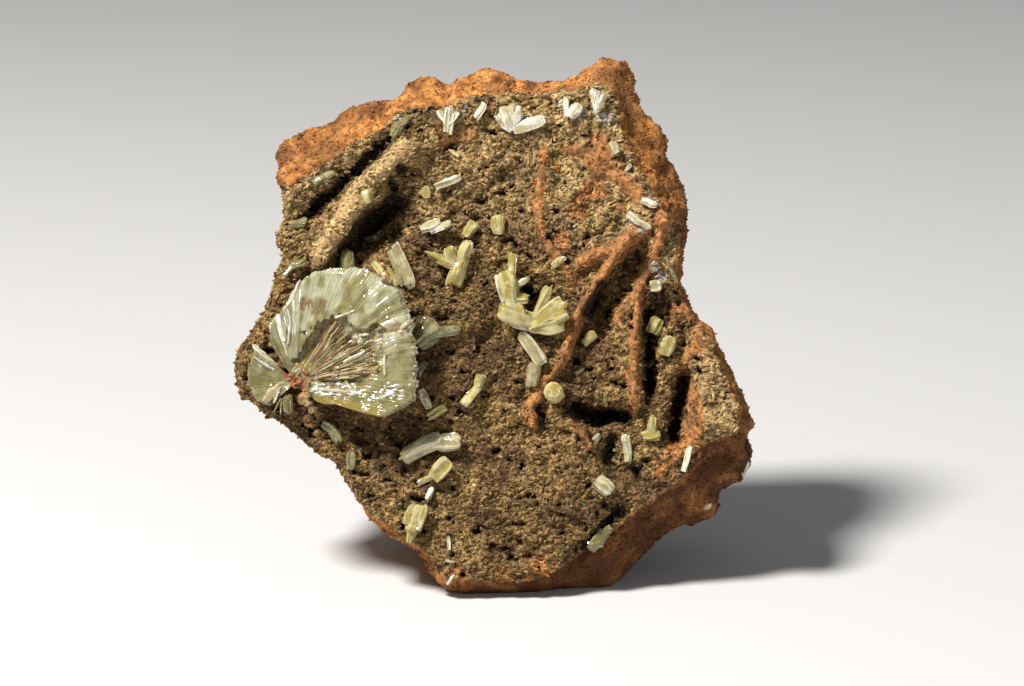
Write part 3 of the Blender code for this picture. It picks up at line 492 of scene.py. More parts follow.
def limonite_material():
    """Matt brown limonite, orange where rust shows; painted shade between its grains, light on
    tops.
    """
    material = bpy.data.materials.new("limonite")
    material.use_nodes = True
    links = material.node_tree.links
    add = node_adder(material)
    shader = material.node_tree.nodes["Principled BSDF"]
    shader.inputs["Roughness"].default_value = 0.92
    shader.inputs["Specular IOR Level"].default_value = 0.25
    where = add("TexCoord", "Object", {})

    def speckle(scale, detail=3.0, rough=0.6, offset=0.0):
        shift = (offset, offset * 0.7, -offset)
        moved = add("Mapping", "Vector", {"Vector": where, "Location": shift})
        return add("TexNoise", "Fac", {
            "Scale": scale, "Detail": detail, "Roughness": rough, "Vector": moved,
        })

    def reckon(kind, a, b):
        return add("Math", 0, {0: a, 1: b}, operation=kind, use_clamp=True)

    fine = speckle(3600, 2.0, 0.7)
    broad = speckle(260, 3.0, 0.6, 0.01)
    brown = ramp(add, fine, (0.32, (0.055, 0.030, 0.012)), (0.52, (0.225, 0.140, 0.052)),
                 (0.72, (0.50, 0.35, 0.16)))
    ruddy = ramp(add, fine, (0.32, (0.035, 0.017, 0.008)), (0.54, (0.120, 0.066, 0.028)),
                 (0.72, (0.30, 0.18, 0.085)))
    patch = ramp(add, broad, (0.42, (0, 0, 0)), (0.60, (1, 1, 1)))
    crust = mix(add, patch, brown, ruddy)
    tan = ramp(add, fine, (0.32, (0.20, 0.12, 0.050)), (0.54, (0.44, 0.31, 0.150)),
               (0.72, (0.66, 0.51, 0.28)))
    crust = mix(add, kept(add, "pale"), crust, tan)
    orange = ramp(add, speckle(1100, 5.0, 0.75, 0.02), (0.32, (0.10, 0.035, 0.012)),
                  (0.50, (0.40, 0.165, 0.045)), (0.70, (0.70, 0.36, 0.13)))
    ochre = ramp(add, speckle(330, 4.0, 0.7, 0.05), (0.50, (0, 0, 0)), (0.62, (0.8, 0.8, 0.8)))
    orange = mix(add, ochre, orange, (0.20, 0.095, 0.035))
    # Painted shade on the rim, with its ochre-brown patches
    orange = mix(add, kept(add, "dark"), orange, (0.085, 0.030, 0.010))
    spots = ramp(add, speckle(1500, 2.0, 0.5, 0.03), (0.30, (1, 1, 1)), (0.38, (0, 0, 0)))
    orange = mix(add, spots, orange, (0.07, 0.028, 0.020))
    edge = reckon("ADD", kept(add, "rust"), reckon("MULTIPLY", fine, 0.35))
    clay = ramp(add, speckle(2600, 4.0, 0.75, 0.06), (0.34, (0.13, 0.055, 0.022)),
                (0.50, (0.36, 0.160, 0.056)), (0.70, (0.56, 0.29, 0.12)))
    worn = ramp(add, speckle(700, 3.0, 0.7, 0.07), (0.48, (0, 0, 0)), (0.62, (0.75, 0.75, 0.75)))
    clay = mix(add, worn, clay, ruddy)
    orange = mix(add, kept(add, "wall"), orange, clay)
    colour = mix(add, ramp(add, edge, (0.42, (0, 0, 0)), (0.66, (1, 1, 1))), crust, orange)
    specks = ramp(add, fine, (0.40, (0.2, 0.2, 0.2)), (0.55, (1, 1, 1)))
    dusty = reckon("MULTIPLY", kept(add, "powder"), specks)
    colour = mix(add, dusty, colour, (0.62, 0.60, 0.56))
    # Painted shade down between the grains and painted light on their tops, from the kept height
    depth = ramp(add, kept(add, "height"), (0.0, (0.08, 0.06, 0.05)), (0.45, (0.62, 0.60, 0.55)),
                 (1.0, (1.30, 1.26, 1.12)))
    colour = mix(add, 1.0, colour, depth, "MULTIPLY")
    # Painted shade in the cracks and hollows, with the brown stains, darkens towards black
    colour = mix(add, kept(add, "soot"), colour, (0.010, 0.006, 0.004))
    links.new(colour, shader.inputs["Base Color"])

    sandy = {"Strength": 0.9, "Distance": 0.00012, "Height": speckle(4200, 3.0, 0.65, 0.04)}
    links.new(add("Bump", "Normal", sandy), shader.inputs["Normal"])
    return material


LIMONITE = limonite_material()
stone.data.materials.clear()
stone.data.materials.append(LIMONITE)
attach(stone, "root")
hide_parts("matrix")


# THE CRUMB
# Grains of limonite, 0.1 to 0.5 mm, grown all over the seam and strewn on its rim. One faceted
# ball is copied for each grain, in three crusts that are stretched a little along the slope.
stone.data.calc_loop_triangles()
corners = np.empty(len(stone.data.loop_triangles) * 3, np.int32)
stone.data.loop_triangles.foreach_get("vertices", corners)
corners = corners.reshape(-1, 3)
stone_points = points
stone_tree = BVHTree.FromPolygons(
    [Vector(p) for p in stone_points], [tuple(c) for c in corners.tolist()]
)
CLEAR_OF_FLOOR = 0.0010
SPRAY_COVER = [
    (-21.6, -3.0), (-21.6, -1.2), (-19.8, 1.0), (-17.8, 4.6), (-16.4, 5.9), (-12.8, 5.8),
    (-9.8, 3.8), (-8.5, 0.8), (-8.4, -3.6), (-9.6, -5.3), (-12.0, -5.0), (-17.0, -4.2),
    (-20.0, -4.0),
]


def crust(name, count, smallest, largest, seed, off_walls, on_rim=False):
    """Strews grains over the seam, fewer on its bare walls and on the sandy fin."""
    chance = np.random.default_rng(seed)
    a, b, c = (stone_points[corners[:, i]] for i in range(3))
    across = np.cross(b - a, c - a)
    area = np.linalg.norm(across, axis=1)
    facing = across / area[:, None]
    middle = (a + b + c) / 3
    zones = stone_zones(middle, facing)
    x, y = seen(middle)
    open_to = zones["seam"] * (1 - off_walls * zones["walls"]) * (1 - 0.50 * zones["fin"])
    if on_rim:
        open_to = (1 - zones["seam"]) * soft(middle[:, 2], -9.0, -5.0)
        open_to *= 1 - soft(within(x, y, SEAM_EDGE), -0.3, 0.2)
        open_to *= 1 - soft(-x, 11.5, 12.5) * (1 - soft(y, 11.5, 13.0))
    upright = np.array(STANDING)[2]
    open_to *= middle @ upright[:3] + upright[3] > CLEAR_OF_FLOOR
    open_to *= 1 - soft(within(x, y, SPRAY_COVER), -0.2, 0.2)
    if not on_rim:
        open_to *= 0.06 + 0.94 * soft(grain_height[corners].mean(axis=1), 0.18, 0.50)
    turned = facing[:, 2] > -0.4 if on_rim else soft(facing[:, 2], 0.10, 0.45)
    weight = area * open_to * turned
    found = chance.choice(len(weight), count, p=weight / weight.sum())
    share = chance.dirichlet((1, 1, 1), count)
    place = sum(share[:, i, None] * v[found] for i, v in enumerate((a, b, c)))
    size = chance.uniform(smallest, largest, count)
    place = place + facing[found] * (size * (0.0 if on_rim else 0.18))[:, None]

    bpy.ops.mesh.primitive_ico_sphere_add(subdivisions=1, radius=1)
    ball = bpy.context.object
    shape = points_of(ball)
    faces = np.array([tuple(f.vertices) for f in ball.data.polygons])
    bpy.data.objects.remove(ball)
    every = shape[None] * chance.uniform(0.50, 1.40, (count, len(shape), 1))
    every *= np.stack([
        chance.uniform(1.0, 1.9, count), chance.uniform(0.5, 0.9, count),
        chance.uniform(0.6, 1.1, count),
    ], 1)[:, None]
    turn = np.radians(chance.normal(14, 34, count))
    cos, sin = np.cos(turn)[:, None], np.sin(turn)[:, None]
    px = every[:, :, 0] * cos - every[:, :, 1] * sin
    py = every[:, :, 0] * sin + every[:, :, 1] * cos
    every = np.stack([px, py, every[:, :, 2]], 2) * size[:, None, None] + place[:, None]

    mesh = bpy.data.meshes.new(name)
    all_faces = (faces[None] + (np.arange(count) * len(shape))[:, None, None]).reshape(-1, 3)
    mesh.from_pydata(every.reshape(-1, 3).tolist(), [], all_faces.tolist())
    grain = new_piece(name, mesh)
    rust, pale, soot, powder, wall = stone_colours(place, facing[found])
    values = {
        "rust": rust * 0.9, "pale": pale, "soot": soot * 0.8, "powder": powder, "wall": wall,
        "dark": stone_dark[corners].mean(axis=1)[found], "height": chance.uniform(0.35, 1.0, count),
    }
    keep_values(grain, **{label: np.repeat(value, len(shape)) for label, value in values.items()})
    mesh.transform(STANDING)
    mesh.materials.append(LIMONITE)
    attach(grain, "root")


crust("crumb_coarse", 9200, 0.11, 0.22, seed=11, off_walls=0.93)
crust("crumb_fine", 9200, 0.06, 0.13, seed=12, off_walls=0.35)
crust("crumb_rim", 6500, 0.05, 0.12, seed=13, off_walls=0.35, on_rim=True)


# THE CRYSTALS' BLADE
# Adamite grows as flattened prisms with grooved sides and a chisel point. This one blade, a round
# bar cut into rings, is shaped anew for each crystal of the specimen.
BLADE_SIDES, BLADE_CUTS = 18, 8
bpy.ops.mesh.primitive_cylinder_add(vertices=BLADE_SIDES, radius=0.5, depth=1, location=(0, 0, 0.5))
blank = bpy.context.object
bpy.ops.object.transform_apply(location=True)
set_mode("EDIT")
bpy.ops.mesh.select_mode(type="EDGE")
bpy.ops.mesh.select_all(action="DESELECT")
set_mode("OBJECT")
for edge in blank.data.edges:
    low, high = (blank.data.vertices[i].co.z for i in edge.vertices)
    edge.select = abs(high - low) > 0.5
set_mode("EDIT")
bpy.ops.mesh.subdivide(number_cuts=BLADE_CUTS)
bpy.ops.mesh.select_mode(type="FACE")
bpy.ops.mesh.select_all(action="SELECT")
bpy.ops.mesh.quads_convert_to_tris()
bpy.ops.mesh.tris_convert_to_quads()
set_mode("OBJECT")
blank_mesh = blank.data
blank_points = points_of(blank)
bpy.data.objects.remove(blank)


def grow_blade(root, tip, width, thickness, seed, point=0.5, rough=0.08, flare=0.8):
    """One blade from a root to a tip, in millimetres on the seam."""
    share = blank_points[:, 2]
    angle = np.arctan2(blank_points[:, 1], blank_points[:, 0])
    column = np.rint(angle / (2 * np.pi) * BLADE_SIDES) % BLADE_SIDES
    key = np.stack([column, np.full(len(column), seed), column * 0], 1)
    groove = scatter(key, 3)
    wide = np.interp(share, [0, 0.4, 0.82, 1], [flare, 1, 0.96, point]) * width
    thick = np.interp(share, [0, 0.5, 0.85, 1], [1, 1, 0.9, 0.45]) * thickness
    cut = 0.80 + 0.28 * groove
    cos, sin = np.cos(angle), np.sin(angle)
    across = np.sign(cos) * np.abs(cos) ** 0.6 * 0.5 * wide * cut
    deep = np.sign(sin) * np.abs(sin) ** 0.75 * 0.5 * thick * cut
    root, tip = np.array(root, float), np.array(tip, float)
    length = np.linalg.norm(tip - root)
    along = (tip - root) / length
    side = np.cross((0, 0, 1.0), along)
    side /= np.linalg.norm(side)
    up = np.cross(along, side)
    roll = (scatter(np.array([[seed, 1, 2]]), 9)[0] - 0.5) * 0.9
    cos, sin = math.cos(roll), math.sin(roll)
    side, up = side * cos - up * sin, up * cos + side * sin
    reach = share * (1 - 0.10 * scatter(key, 4) * (share > 0.95)) * length
    shaped = root + along * reach[:, None] + side * across[:, None] + up * deep[:, None]
    local = np.stack([across, deep, reach * 0.6], 1) + seed
    shaped += (side * swell(local, 0.6 * width, 71)[:, None]
               + up * swell(local, 0.6 * width, 72)[:, None]) * rough * width
    blade = new_piece("blade", blank_mesh.copy())
    move_points(blade, shaped)
    keep_values(blade, streak=groove)
    return blade


# THE SMALL CRYSTALS
# Single prisms and groups of adamite, 0.5 to 4 mm, that grew on the crumb. Each is seated at the
# height of its own solid; roots and tips are where they show on the seam.
def grow_ball(place, radii, seed, rough=0.2, detail=3):
    """A rounded, lumpy crystal."""
    bpy.ops.mesh.primitive_ico_sphere_add(subdivisions=detail, radius=1)
    ball = bpy.context.object
    shape = points_of(ball)
    bumpy = 1 + rough * swell(shape + seed, 0.55, 73) + 0.5 * rough * swell(shape + seed, 0.25, 74)
    move_points(ball, shape * bumpy[:, None] * np.array(radii) + np.array(place))
    keep_values(ball, streak=scatter(np.rint(shape * 4), seed))
    return ball


def grow_together(name, parts, looks, node=None):
    """Joins a group's blades, each with its own look, into one finished piece on the stone."""
    bpy.ops.object.select_all(action="DESELECT")
    for part, look in zip(parts, looks):
        part.data.materials.clear()
        part.data.materials.append(look)
        part.select_set(True)
    bpy.context.view_layer.objects.active = parts[0]
    if len(parts) > 1:
        bpy.ops.object.join()
    piece = bpy.context.view_layer.objects.active
    piece.name = name
    piece.data.transform(STANDING)
    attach(piece, "root")
    if node:
        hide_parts(node)


ADAMITE_IOR = 1.72
ABSORPTION = 260


def adamite(name, body, milk, cloudy, see_through, roughness, absorb):
    """Adamite with milky streaks: clear body colour, streak colour and how much of it."""
    material = bpy.data.materials.new(name)
    material.use_nodes = True
    nodes, links = material.node_tree.nodes, material.node_tree.links
    add = node_adder(material)
    shader = nodes["Principled BSDF"]
    shader.inputs["Roughness"].default_value = roughness
    shader.inputs["Transmission Weight"].default_value = see_through
    shader.inputs["IOR"].default_value = ADAMITE_IOR
    where = add("TexCoord", "Object", {})
    noise = add("TexNoise", "Fac", {"Scale": 1300, "Detail": 3, "Vector": where})
    streaks = {0: kept(add, "streak"), 1: 0.45, 2: noise}
    streaks = add("Math", 0, streaks, operation="MULTIPLY_ADD")
    milky = ramp(add, streaks, (0.88 - 0.5 * cloudy, body), (1.05 - 0.4 * cloudy, milk))
    links.new(milky, shader.inputs["Base Color"])
    ridges = add("Bump", "Normal", {"Strength": 0.7, "Distance": 0.00009, "Height": streaks})
    links.new(ridges, shader.inputs["Normal"])
    inside = add("VolumeAbsorption", "Volume", {"Color": (*absorb, 1), "Density": ABSORPTION})
    links.new(inside, nodes["Material Output"].inputs["Volume"])
    return material


YELLOW = adamite("adamite_yellow", (0.52, 0.41, 0.10), (0.80, 0.72, 0.36), 0.42, 0.50, 0.09,
                 (0.80, 0.74, 0.25))
OLIVE = adamite("adamite_olive", (0.30, 0.26, 0.09), (0.54, 0.49, 0.24), 0.40, 0.58, 0.10,
                (0.72, 0.68, 0.36))
CLEAR = adamite("adamite_clear", (0.50, 0.42, 0.21), (0.86, 0.78, 0.52), 0.46, 0.50, 0.08,
                (0.86, 0.84, 0.60))
# Milky white adamite, also put where glints show: partly painted highlight
MILKY_AND_GLINT = adamite("adamite_milky_and_glint", (0.56, 0.49, 0.26), (0.92, 0.89, 0.76), 0.48, 0.35, 0.08,
                (0.90, 0.92, 0.80))
BROWN = adamite("adamite_brown", (0.15, 0.080, 0.026), (0.35, 0.225, 0.090), 0.50, 0.0, 0.45,
                (0.60, 0.35, 0.15))
RUSTY = adamite("rusty_heart", (0.22, 0.075, 0.018), (0.42, 0.17, 0.04), 0.50, 0.0, 0.60,
                (0.60, 0.35, 0.15))


def node_tree(name):
    """The solid of a CAD node, to find how high its crystals stand."""
    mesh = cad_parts[name].data.copy()
    mesh.transform(STANDING.inverted())
    mesh.calc_loop_triangles()
    tree = BVHTree.FromPolygons(
        [v.co.copy() for v in mesh.vertices], [tuple(t.vertices) for t in mesh.loop_triangles]
    )
    bpy.data.meshes.remove(mesh)
    return tree


EYE = Vector((0, 0, SEEN_FROM))


def out_at(tree, a, b):
    """Height of a solid where it is seen at one place on the seam, or None beside it."""
    hit = tree.ray_cast(EYE, Vector((a, b, 0)) - EYE)[0]
    return None if hit is None else hit.z


def placed(a, b, z):
    return a * (1 - z / SEEN_FROM), b * (1 - z / SEEN_FROM), z


# What each is made of, then its blades: root, tip and width
CRYSTALS = {
    "leaning_pair": (CLEAR, [
        ((-10.1, 7.8), (-8.9, 4.8), 0.75), ((-9.7, 8.1), (-8.3, 4.5), 0.85),
    ]),
    "cross": (YELLOW, [
        ((-4.3, 6.1), (-3.5, 8.5), 1.2), ((-4.6, 6.4), (-7.1, 7.5), 0.8),
        ((-4.5, 6.3), (-5.4, 8.0), 1.1), ((-4.2, 6.8), (-4.9, 4.7), 1.4),
    ]),
    "short_prism": (YELLOW, [((-3.9, 8.9), (-3.1, 10.1), 0.8)]),
    "bright_plate": (MILKY_AND_GLINT, [
        ((-7.6, 9.5), (-5.9, 10.2), 0.8), ((-6.8, 9.3), (-5.0, 10.1), 0.6),
    ]),
    "upright": (YELLOW, [((-1.1, 9.1), (-1.2, 10.7), 1.0)]),
    "upper_prism": (CLEAR, [((-6.4, 13.0), (-4.2, 13.9), 0.65)]),
    "stub": (YELLOW, [((-7.1, 12.1), (-7.2, 13.1), 0.6)]),
    "strip_prism": (OLIVE, [((-16.5, 13.3), (-14.8, 14.3), 0.6)]),
    "fin_knob": (YELLOW, [((-11.9, 11.8), (-12.2, 12.8), 1.0)]),
    "left_prism": (OLIVE, [((-18.5, 9.8), (-17.0, 10.3), 0.8)]),
    "cavity_wedge": (OLIVE, [((-13.9, 6.0), (-13.6, 7.8), 1.2)]),
    "left_splinter": (OLIVE, [((-18.4, 6.4), (-17.1, 6.8), 0.65)]),
    "top_left_fan": (MILKY_AND_GLINT, [
        ((-5.4, 17.6), (-5.2, 19.7), 0.8), ((-5.4, 18.2), (-6.2, 19.4), 0.6),
        ((-5.3, 18.2), (-4.4, 19.2), 0.5),
    ]),
    "top_splinter": (MILKY_AND_GLINT, [((-3.0, 18.8), (-2.2, 20.0), 0.65)]),
    "top_fan": (MILKY_AND_GLINT, [
        ((0.0, 17.7), (0.0, 20.0), 1.0), ((0.0, 17.8), (-0.8, 19.8), 1.0),
        ((0.0, 17.8), (-1.3, 19.0), 0.9), ((0.1, 17.8), (0.6, 19.8), 0.8),
        ((0.1, 17.8), (2.8, 18.7), 1.0),
    ]),
    "rim_pair": (OLIVE, [
        ((-10.0, 17.2), (-9.3, 18.3), 0.65), ((-9.5, 18.1), (-8.5, 18.9), 0.6),
    ]),
    "corner_pair": (MILKY_AND_GLINT, [((4.6, 18.9), (4.4, 20.4), 0.6), ((4.7, 18.9), (5.7, 19.9), 0.9)]),
    "corner_fan": (MILKY_AND_GLINT, [((7.1, 19.4), (6.8, 21.2), 0.7), ((7.1, 19.4), (7.8, 20.8), 0.6)]),
    "corner_plate": (CLEAR, [((8.7, 15.8), (8.3, 16.8), 0.8)]),
    "rim_splinter": (MILKY_AND_GLINT, [((10.8, 11.8), (12.2, 11.5), 0.6)]),
    "wall_splinters": (MILKY_AND_GLINT, [
        ((9.6, 10.8), (10.8, 9.9), 0.6), ((10.5, 10.2), (11.6, 9.5), 0.5),
    ]),
    "centre_group": (YELLOW, [
        ((0.1, 3.2), (-0.7, 6.1), 1.7), ((-0.2, 4.8), (0.1, 7.6), 0.7),
        ((0.0, 3.8), (1.4, 3.6), 0.8), ((0.0, 4.6), (1.5, 5.4), 0.5),
        ((1.9, 1.7), (-1.2, 2.9), 1.5), ((1.5, 1.3), (3.1, 4.8), 0.9),
        ((1.5, 1.3), (4.2, 3.6), 1.3), ((1.5, 1.2), (4.7, 2.5), 1.3),
        ((1.5, 1.3), (4.4, 1.4), 1.1), ((0.9, 2.2), (0.0, 3.9), 0.9),
    ]),
    "below_centre": (CLEAR, [((0.7, 0.7), (2.7, -1.8), 1.0), ((1.6, -3.6), (1.9, -1.6), 1.1)]),
    "knob": (YELLOW, [((3.3, -4.9), (3.7, -3.4), 1.6)]),
    "trough_prism": (YELLOW, [((5.9, 0.0), (7.0, 0.8), 0.8)]),
    "beside_spray": (OLIVE, [((-8.0, 0.0), (-6.2, 1.7), 2.0), ((-7.0, 0.8), (-4.2, 1.2), 0.9)]),
    "bent_pair": (YELLOW, [
        ((-2.9, -3.8), (-2.5, -2.6), 0.8), ((-2.8, -3.6), (-4.1, -5.2), 0.8),
    ]),
    "spray_foot": (CLEAR, [((-7.6, -3.9), (-6.8, -5.5), 0.65)]),
    "foot_prism": (YELLOW, [((-7.0, -6.1), (-5.5, -5.3), 0.8)]),
    "striated_prism": (CLEAR, [
        ((-5.9, -7.8), (-9.2, -9.8), 1.4), ((-6.6, -8.4), (-4.2, -8.2), 1.35),
    ]),
    "lobed": (YELLOW, [
        ((-6.6, -11.2), (-5.2, -9.7), 1.3), ((-6.0, -10.8), (-7.9, -11.7), 0.5),
    ]),
    "silver_bar": (MILKY_AND_GLINT, [((-7.1, -13.0), (-6.6, -12.0), 0.5)]),
    "club": (YELLOW, [
        ((-8.6, -16.6), (-8.1, -14.6), 0.7), ((-8.4, -15.6), (-7.8, -13.4), 1.5),
    ]),
    "low_wedge": (OLIVE, [((-13.5, -10.5), (-13.4, -9.0), 0.75)]),
    "under_spray": (OLIVE, [
        ((-15.8, -6.7), (-14.8, -7.4), 0.65), ((-15.2, -6.9), (-14.3, -8.3), 0.8),
    ]),
    "white_block": (CLEAR, [((11.5, 4.7), (12.5, 4.8), 1.0)]),
    "yellow_left": (YELLOW, [((11.6, 0.9), (12.3, 2.1), 1.2)]),
    "yellow_right": (YELLOW, [((12.7, -1.0), (13.2, 0.6), 1.1)]),
    "recess_pair": (YELLOW, [
        ((10.9, -7.8), (12.4, -7.6), 0.85), ((11.7, -7.7), (11.8, -6.0), 0.7),
    ]),
    "white_bar": (MILKY_AND_GLINT, [((9.7, -9.8), (9.4, -7.6), 0.7)]),
    "fibrous_block": (CLEAR, [((7.0, -11.4), (8.3, -12.5), 1.2)]),
    "silver_streak": (MILKY_AND_GLINT, [((14.3, -10.7), (14.9, -8.6), 0.5)]),
    "slot_pair": (OLIVE, [
        ((6.5, -17.2), (8.3, -15.3), 1.0), ((6.4, -17.0), (7.6, -16.6), 0.8),
    ]),
}
KNOB_MIDDLE, KNOB_RADII = (3.5, -4.15), (0.85, 0.9, 0.7)
PROBED_AT = 0.15, 0.3, 0.5, 0.7, 0.85
LEAST_SLOPE, MOST_SLOPE = -0.5, 1.5


def seated(tree, root, tip, thickness, lift=0.0):
    """A blade's root and tip in space, lying just under the top of a solid."""
    found = []
    for share in PROBED_AT:
        a, b = (low + (high - low) * share for low, high in zip(root, tip))
        z = out_at(tree, a, b)
        if z is not None:
            found.append((share, z))
    if not found:
        return None
    slope = 0.0
    if len(found) > 2:
        slope, _ = np.polyfit([f[0] for f in found], [f[1] for f in found], 1)
        slope = min(max(slope, LEAST_SLOPE), MOST_SLOPE)
    middle = np.mean([f[1] for f in found]) - slope * (np.mean([f[0] for f in found]) - 0.5)
    low = middle - 0.5 * slope - 0.45 * thickness + lift
    return placed(*root, low), placed(*tip, low + slope)


for number, (name, (look, rows)) in enumerate(CRYSTALS.items()):
    tree = node_tree("crystal_" + name)
    parts, looks = [], []
    for index, (root, tip, width) in enumerate(rows):
        ends = seated(tree, root, tip, width * 0.7)
        seed = number * 20 + index
        looks.append(look)
        if name == "knob":
            middle = placed(*KNOB_MIDDLE, ends[0][2] + 0.15)
            parts.append(grow_ball(middle, KNOB_RADII, seed, 0.12))
        else:
            parts.append(grow_blade(*ends, width, width * 0.75, seed, 0.62, 0.16))
            foot, head = np.array(ends[0]), np.array(ends[1])
            aside = np.cross(head - foot, (0, 0, 1.0))
            aside /= np.linalg.norm(aside)
            for extra in range(2 if width < 0.7 else 4):
                luck = [scatter(np.array([[seed, extra, k]]), 17)[0] - 0.5 for k in range(5)]
                shift = aside * luck[0] * 0.75 * width + (0, 0, luck[1] * 0.25 * width)
                start = foot + (head - foot) * (0.15 + 0.5 * luck[2]) + shift
                end = head - (head - foot) * (0.18 + 0.5 * luck[3]) + shift * 1.2
                size = width * (0.34 + 0.25 * luck[4])
                parts.append(grow_blade(start, end, size, size * 0.9, seed * 7 + extra, 0.5, 0.12))
                # One sub-blade of each larger yellow group is white: a painted glint
                bright = look is YELLOW and extra == 1 and width > 0.9
                looks.append(MILKY_AND_GLINT if bright else look)
    grow_together("crystals_" + name, parts, looks, "crystal_" + name)

# Smaller ones, down to 0.3 mm, straight on the stone
LITTLE_ONES = [
    ((-5.25, 16.1), (-4.4, 15.5), 0.42, YELLOW), ((-13.75, 14.7), (-12.9, 15.3), 0.35, OLIVE),
    ((9.5, 14.3), (10.0, 14.9), 0.40, CLEAR), ((3.67, 6.8), (4.5, 7.1), 0.42, MILKY_AND_GLINT),
    ((5.25, -2.6), (6.0, -2.1), 0.50, OLIVE), ((6.75, -8.2), (7.3, -7.6), 0.60, CLEAR),
    ((7.83, -5.25), (7.75, -4.1), 0.35, YELLOW), ((12.8, 7.25), (13.8, 4.9), 0.33, OLIVE),
    ((11.3, -2.0), (12.0, -1.4), 0.50, MILKY_AND_GLINT), ((19.1, -11.3), (19.7, -9.9), 0.40, MILKY_AND_GLINT),
    ((16.0, -13.75), (16.6, -13.5), 0.50, MILKY_AND_GLINT), ((-5.25, -17.25), (-5.3, -16.0), 0.30, MILKY_AND_GLINT),
    ((-5.4, -20.1), (-4.8, -19.3), 0.30, MILKY_AND_GLINT), ((-5.6, -18.1), (-4.75, -18.3), 0.30, MILKY_AND_GLINT),
    ((-12.2, 8.6), (-11.3, 8.75), 0.50, CLEAR), ((-7.8, -2.8), (-7.25, -1.5), 0.58, OLIVE),
    ((3.4, 6.4), (4.2, 7.1), 0.60, YELLOW), ((-18.9, 5.6), (-18.2, 6.6), 0.40, CLEAR),
]
parts, looks = [], []
for index, (root, tip, width, look) in enumerate(LITTLE_ONES):
    ends = seated(stone_tree, root, tip, width * 0.7, 0.28)
    if ends:
        parts.append(grow_blade(*ends, width, width * 0.8, 900 + index, 0.6, 0.12))
        looks.append(look)
grow_together("crystals_smallest", parts, looks)


# THE SPRAY
# The largest crystal group, 13 mm across: adamite that grew outwards from one rusty centre into a
# plate of fine rays. Its middle is broken away, and open blades stained brown show there.
HUB = (-18.0, -3.25)

# Outlines round the hub: degrees and reach
PLATE_RIM = [
    (-44, 2.4), (-31, 3.8), (-27, 5.4), (-24, 6.5), (-22, 7.9), (-15.5, 9.25), (-9, 10.07),
    (-3, 9.97), (9, 10.2), (17.6, 10.55), (24.3, 10.33), (27.7, 11.1), (31.5, 10.83),
    (34.6, 11.09), (44.5, 11.64), (58, 10.96), (68.6, 10.29), (76.7, 9.65), (82.8, 9.36),
    (87, 8.78), (97, 6.46), (104.5, 5.97), (117, 5.33), (124.5, 3.64),
]
FAN_RIM = [
    (139, 4.6), (150, 4.2), (162.5, 4.16), (172, 4.12), (184.6, 3.88), (201, 3.7), (222, 2.9),
]

# The broken middle, and the honey-coloured edge below it
BROKEN_MIDDLE = [
    (-16.9, 1.0), (-15.4, 1.7), (-14.25, 2.3), (-13.1, 1.3), (-11.3, 1.4), (-10.5, 0.9),
    (-10.8, -0.8), (-10.75, -2.6), (-11.7, -2.6), (-12.1, -3.3), (-13.75, -3.0), (-16.6, -3.3),
    (-18.4, -3.4), (-17.7, -1.2),
]
HONEY_EDGE = [(-16.5, -4.7), (-15.0, -4.95), (-13.6, -5.25), (-12.2, -5.6), (-11.0, -5.9)]


def from_hub(reach, angle):
    return HUB[0] + reach * math.cos(angle), HUB[1] + reach * math.sin(angle)


spray_tree = node_tree("adamite_spray")
samples = []
for angle in range(-40, 222, 6):
    for reach in np.arange(1.0, 10.5, 0.7):
        a, b = from_hub(reach, math.radians(angle))
        z = out_at(spray_tree, a, b)
        if z is not None:
            samples.append((a, b, z))
samples = np.array(samples)


def plate_terms(a, b):
    a, b = (a + 14) / 6, (b - 0.5) / 6
    return np.stack([a * 0 + 1, a, b, a * a, a * b, b * b, a**3, b**3, a * a * b, a * b * b], 1)


plate_fit = np.linalg.lstsq(plate_terms(samples[:, 0], samples[:, 1]), samples[:, 2], rcond=None)[0]


def plate_height(a, b):
    return plate_terms(np.atleast_1d(a), np.atleast_1d(b)) @ plate_fit


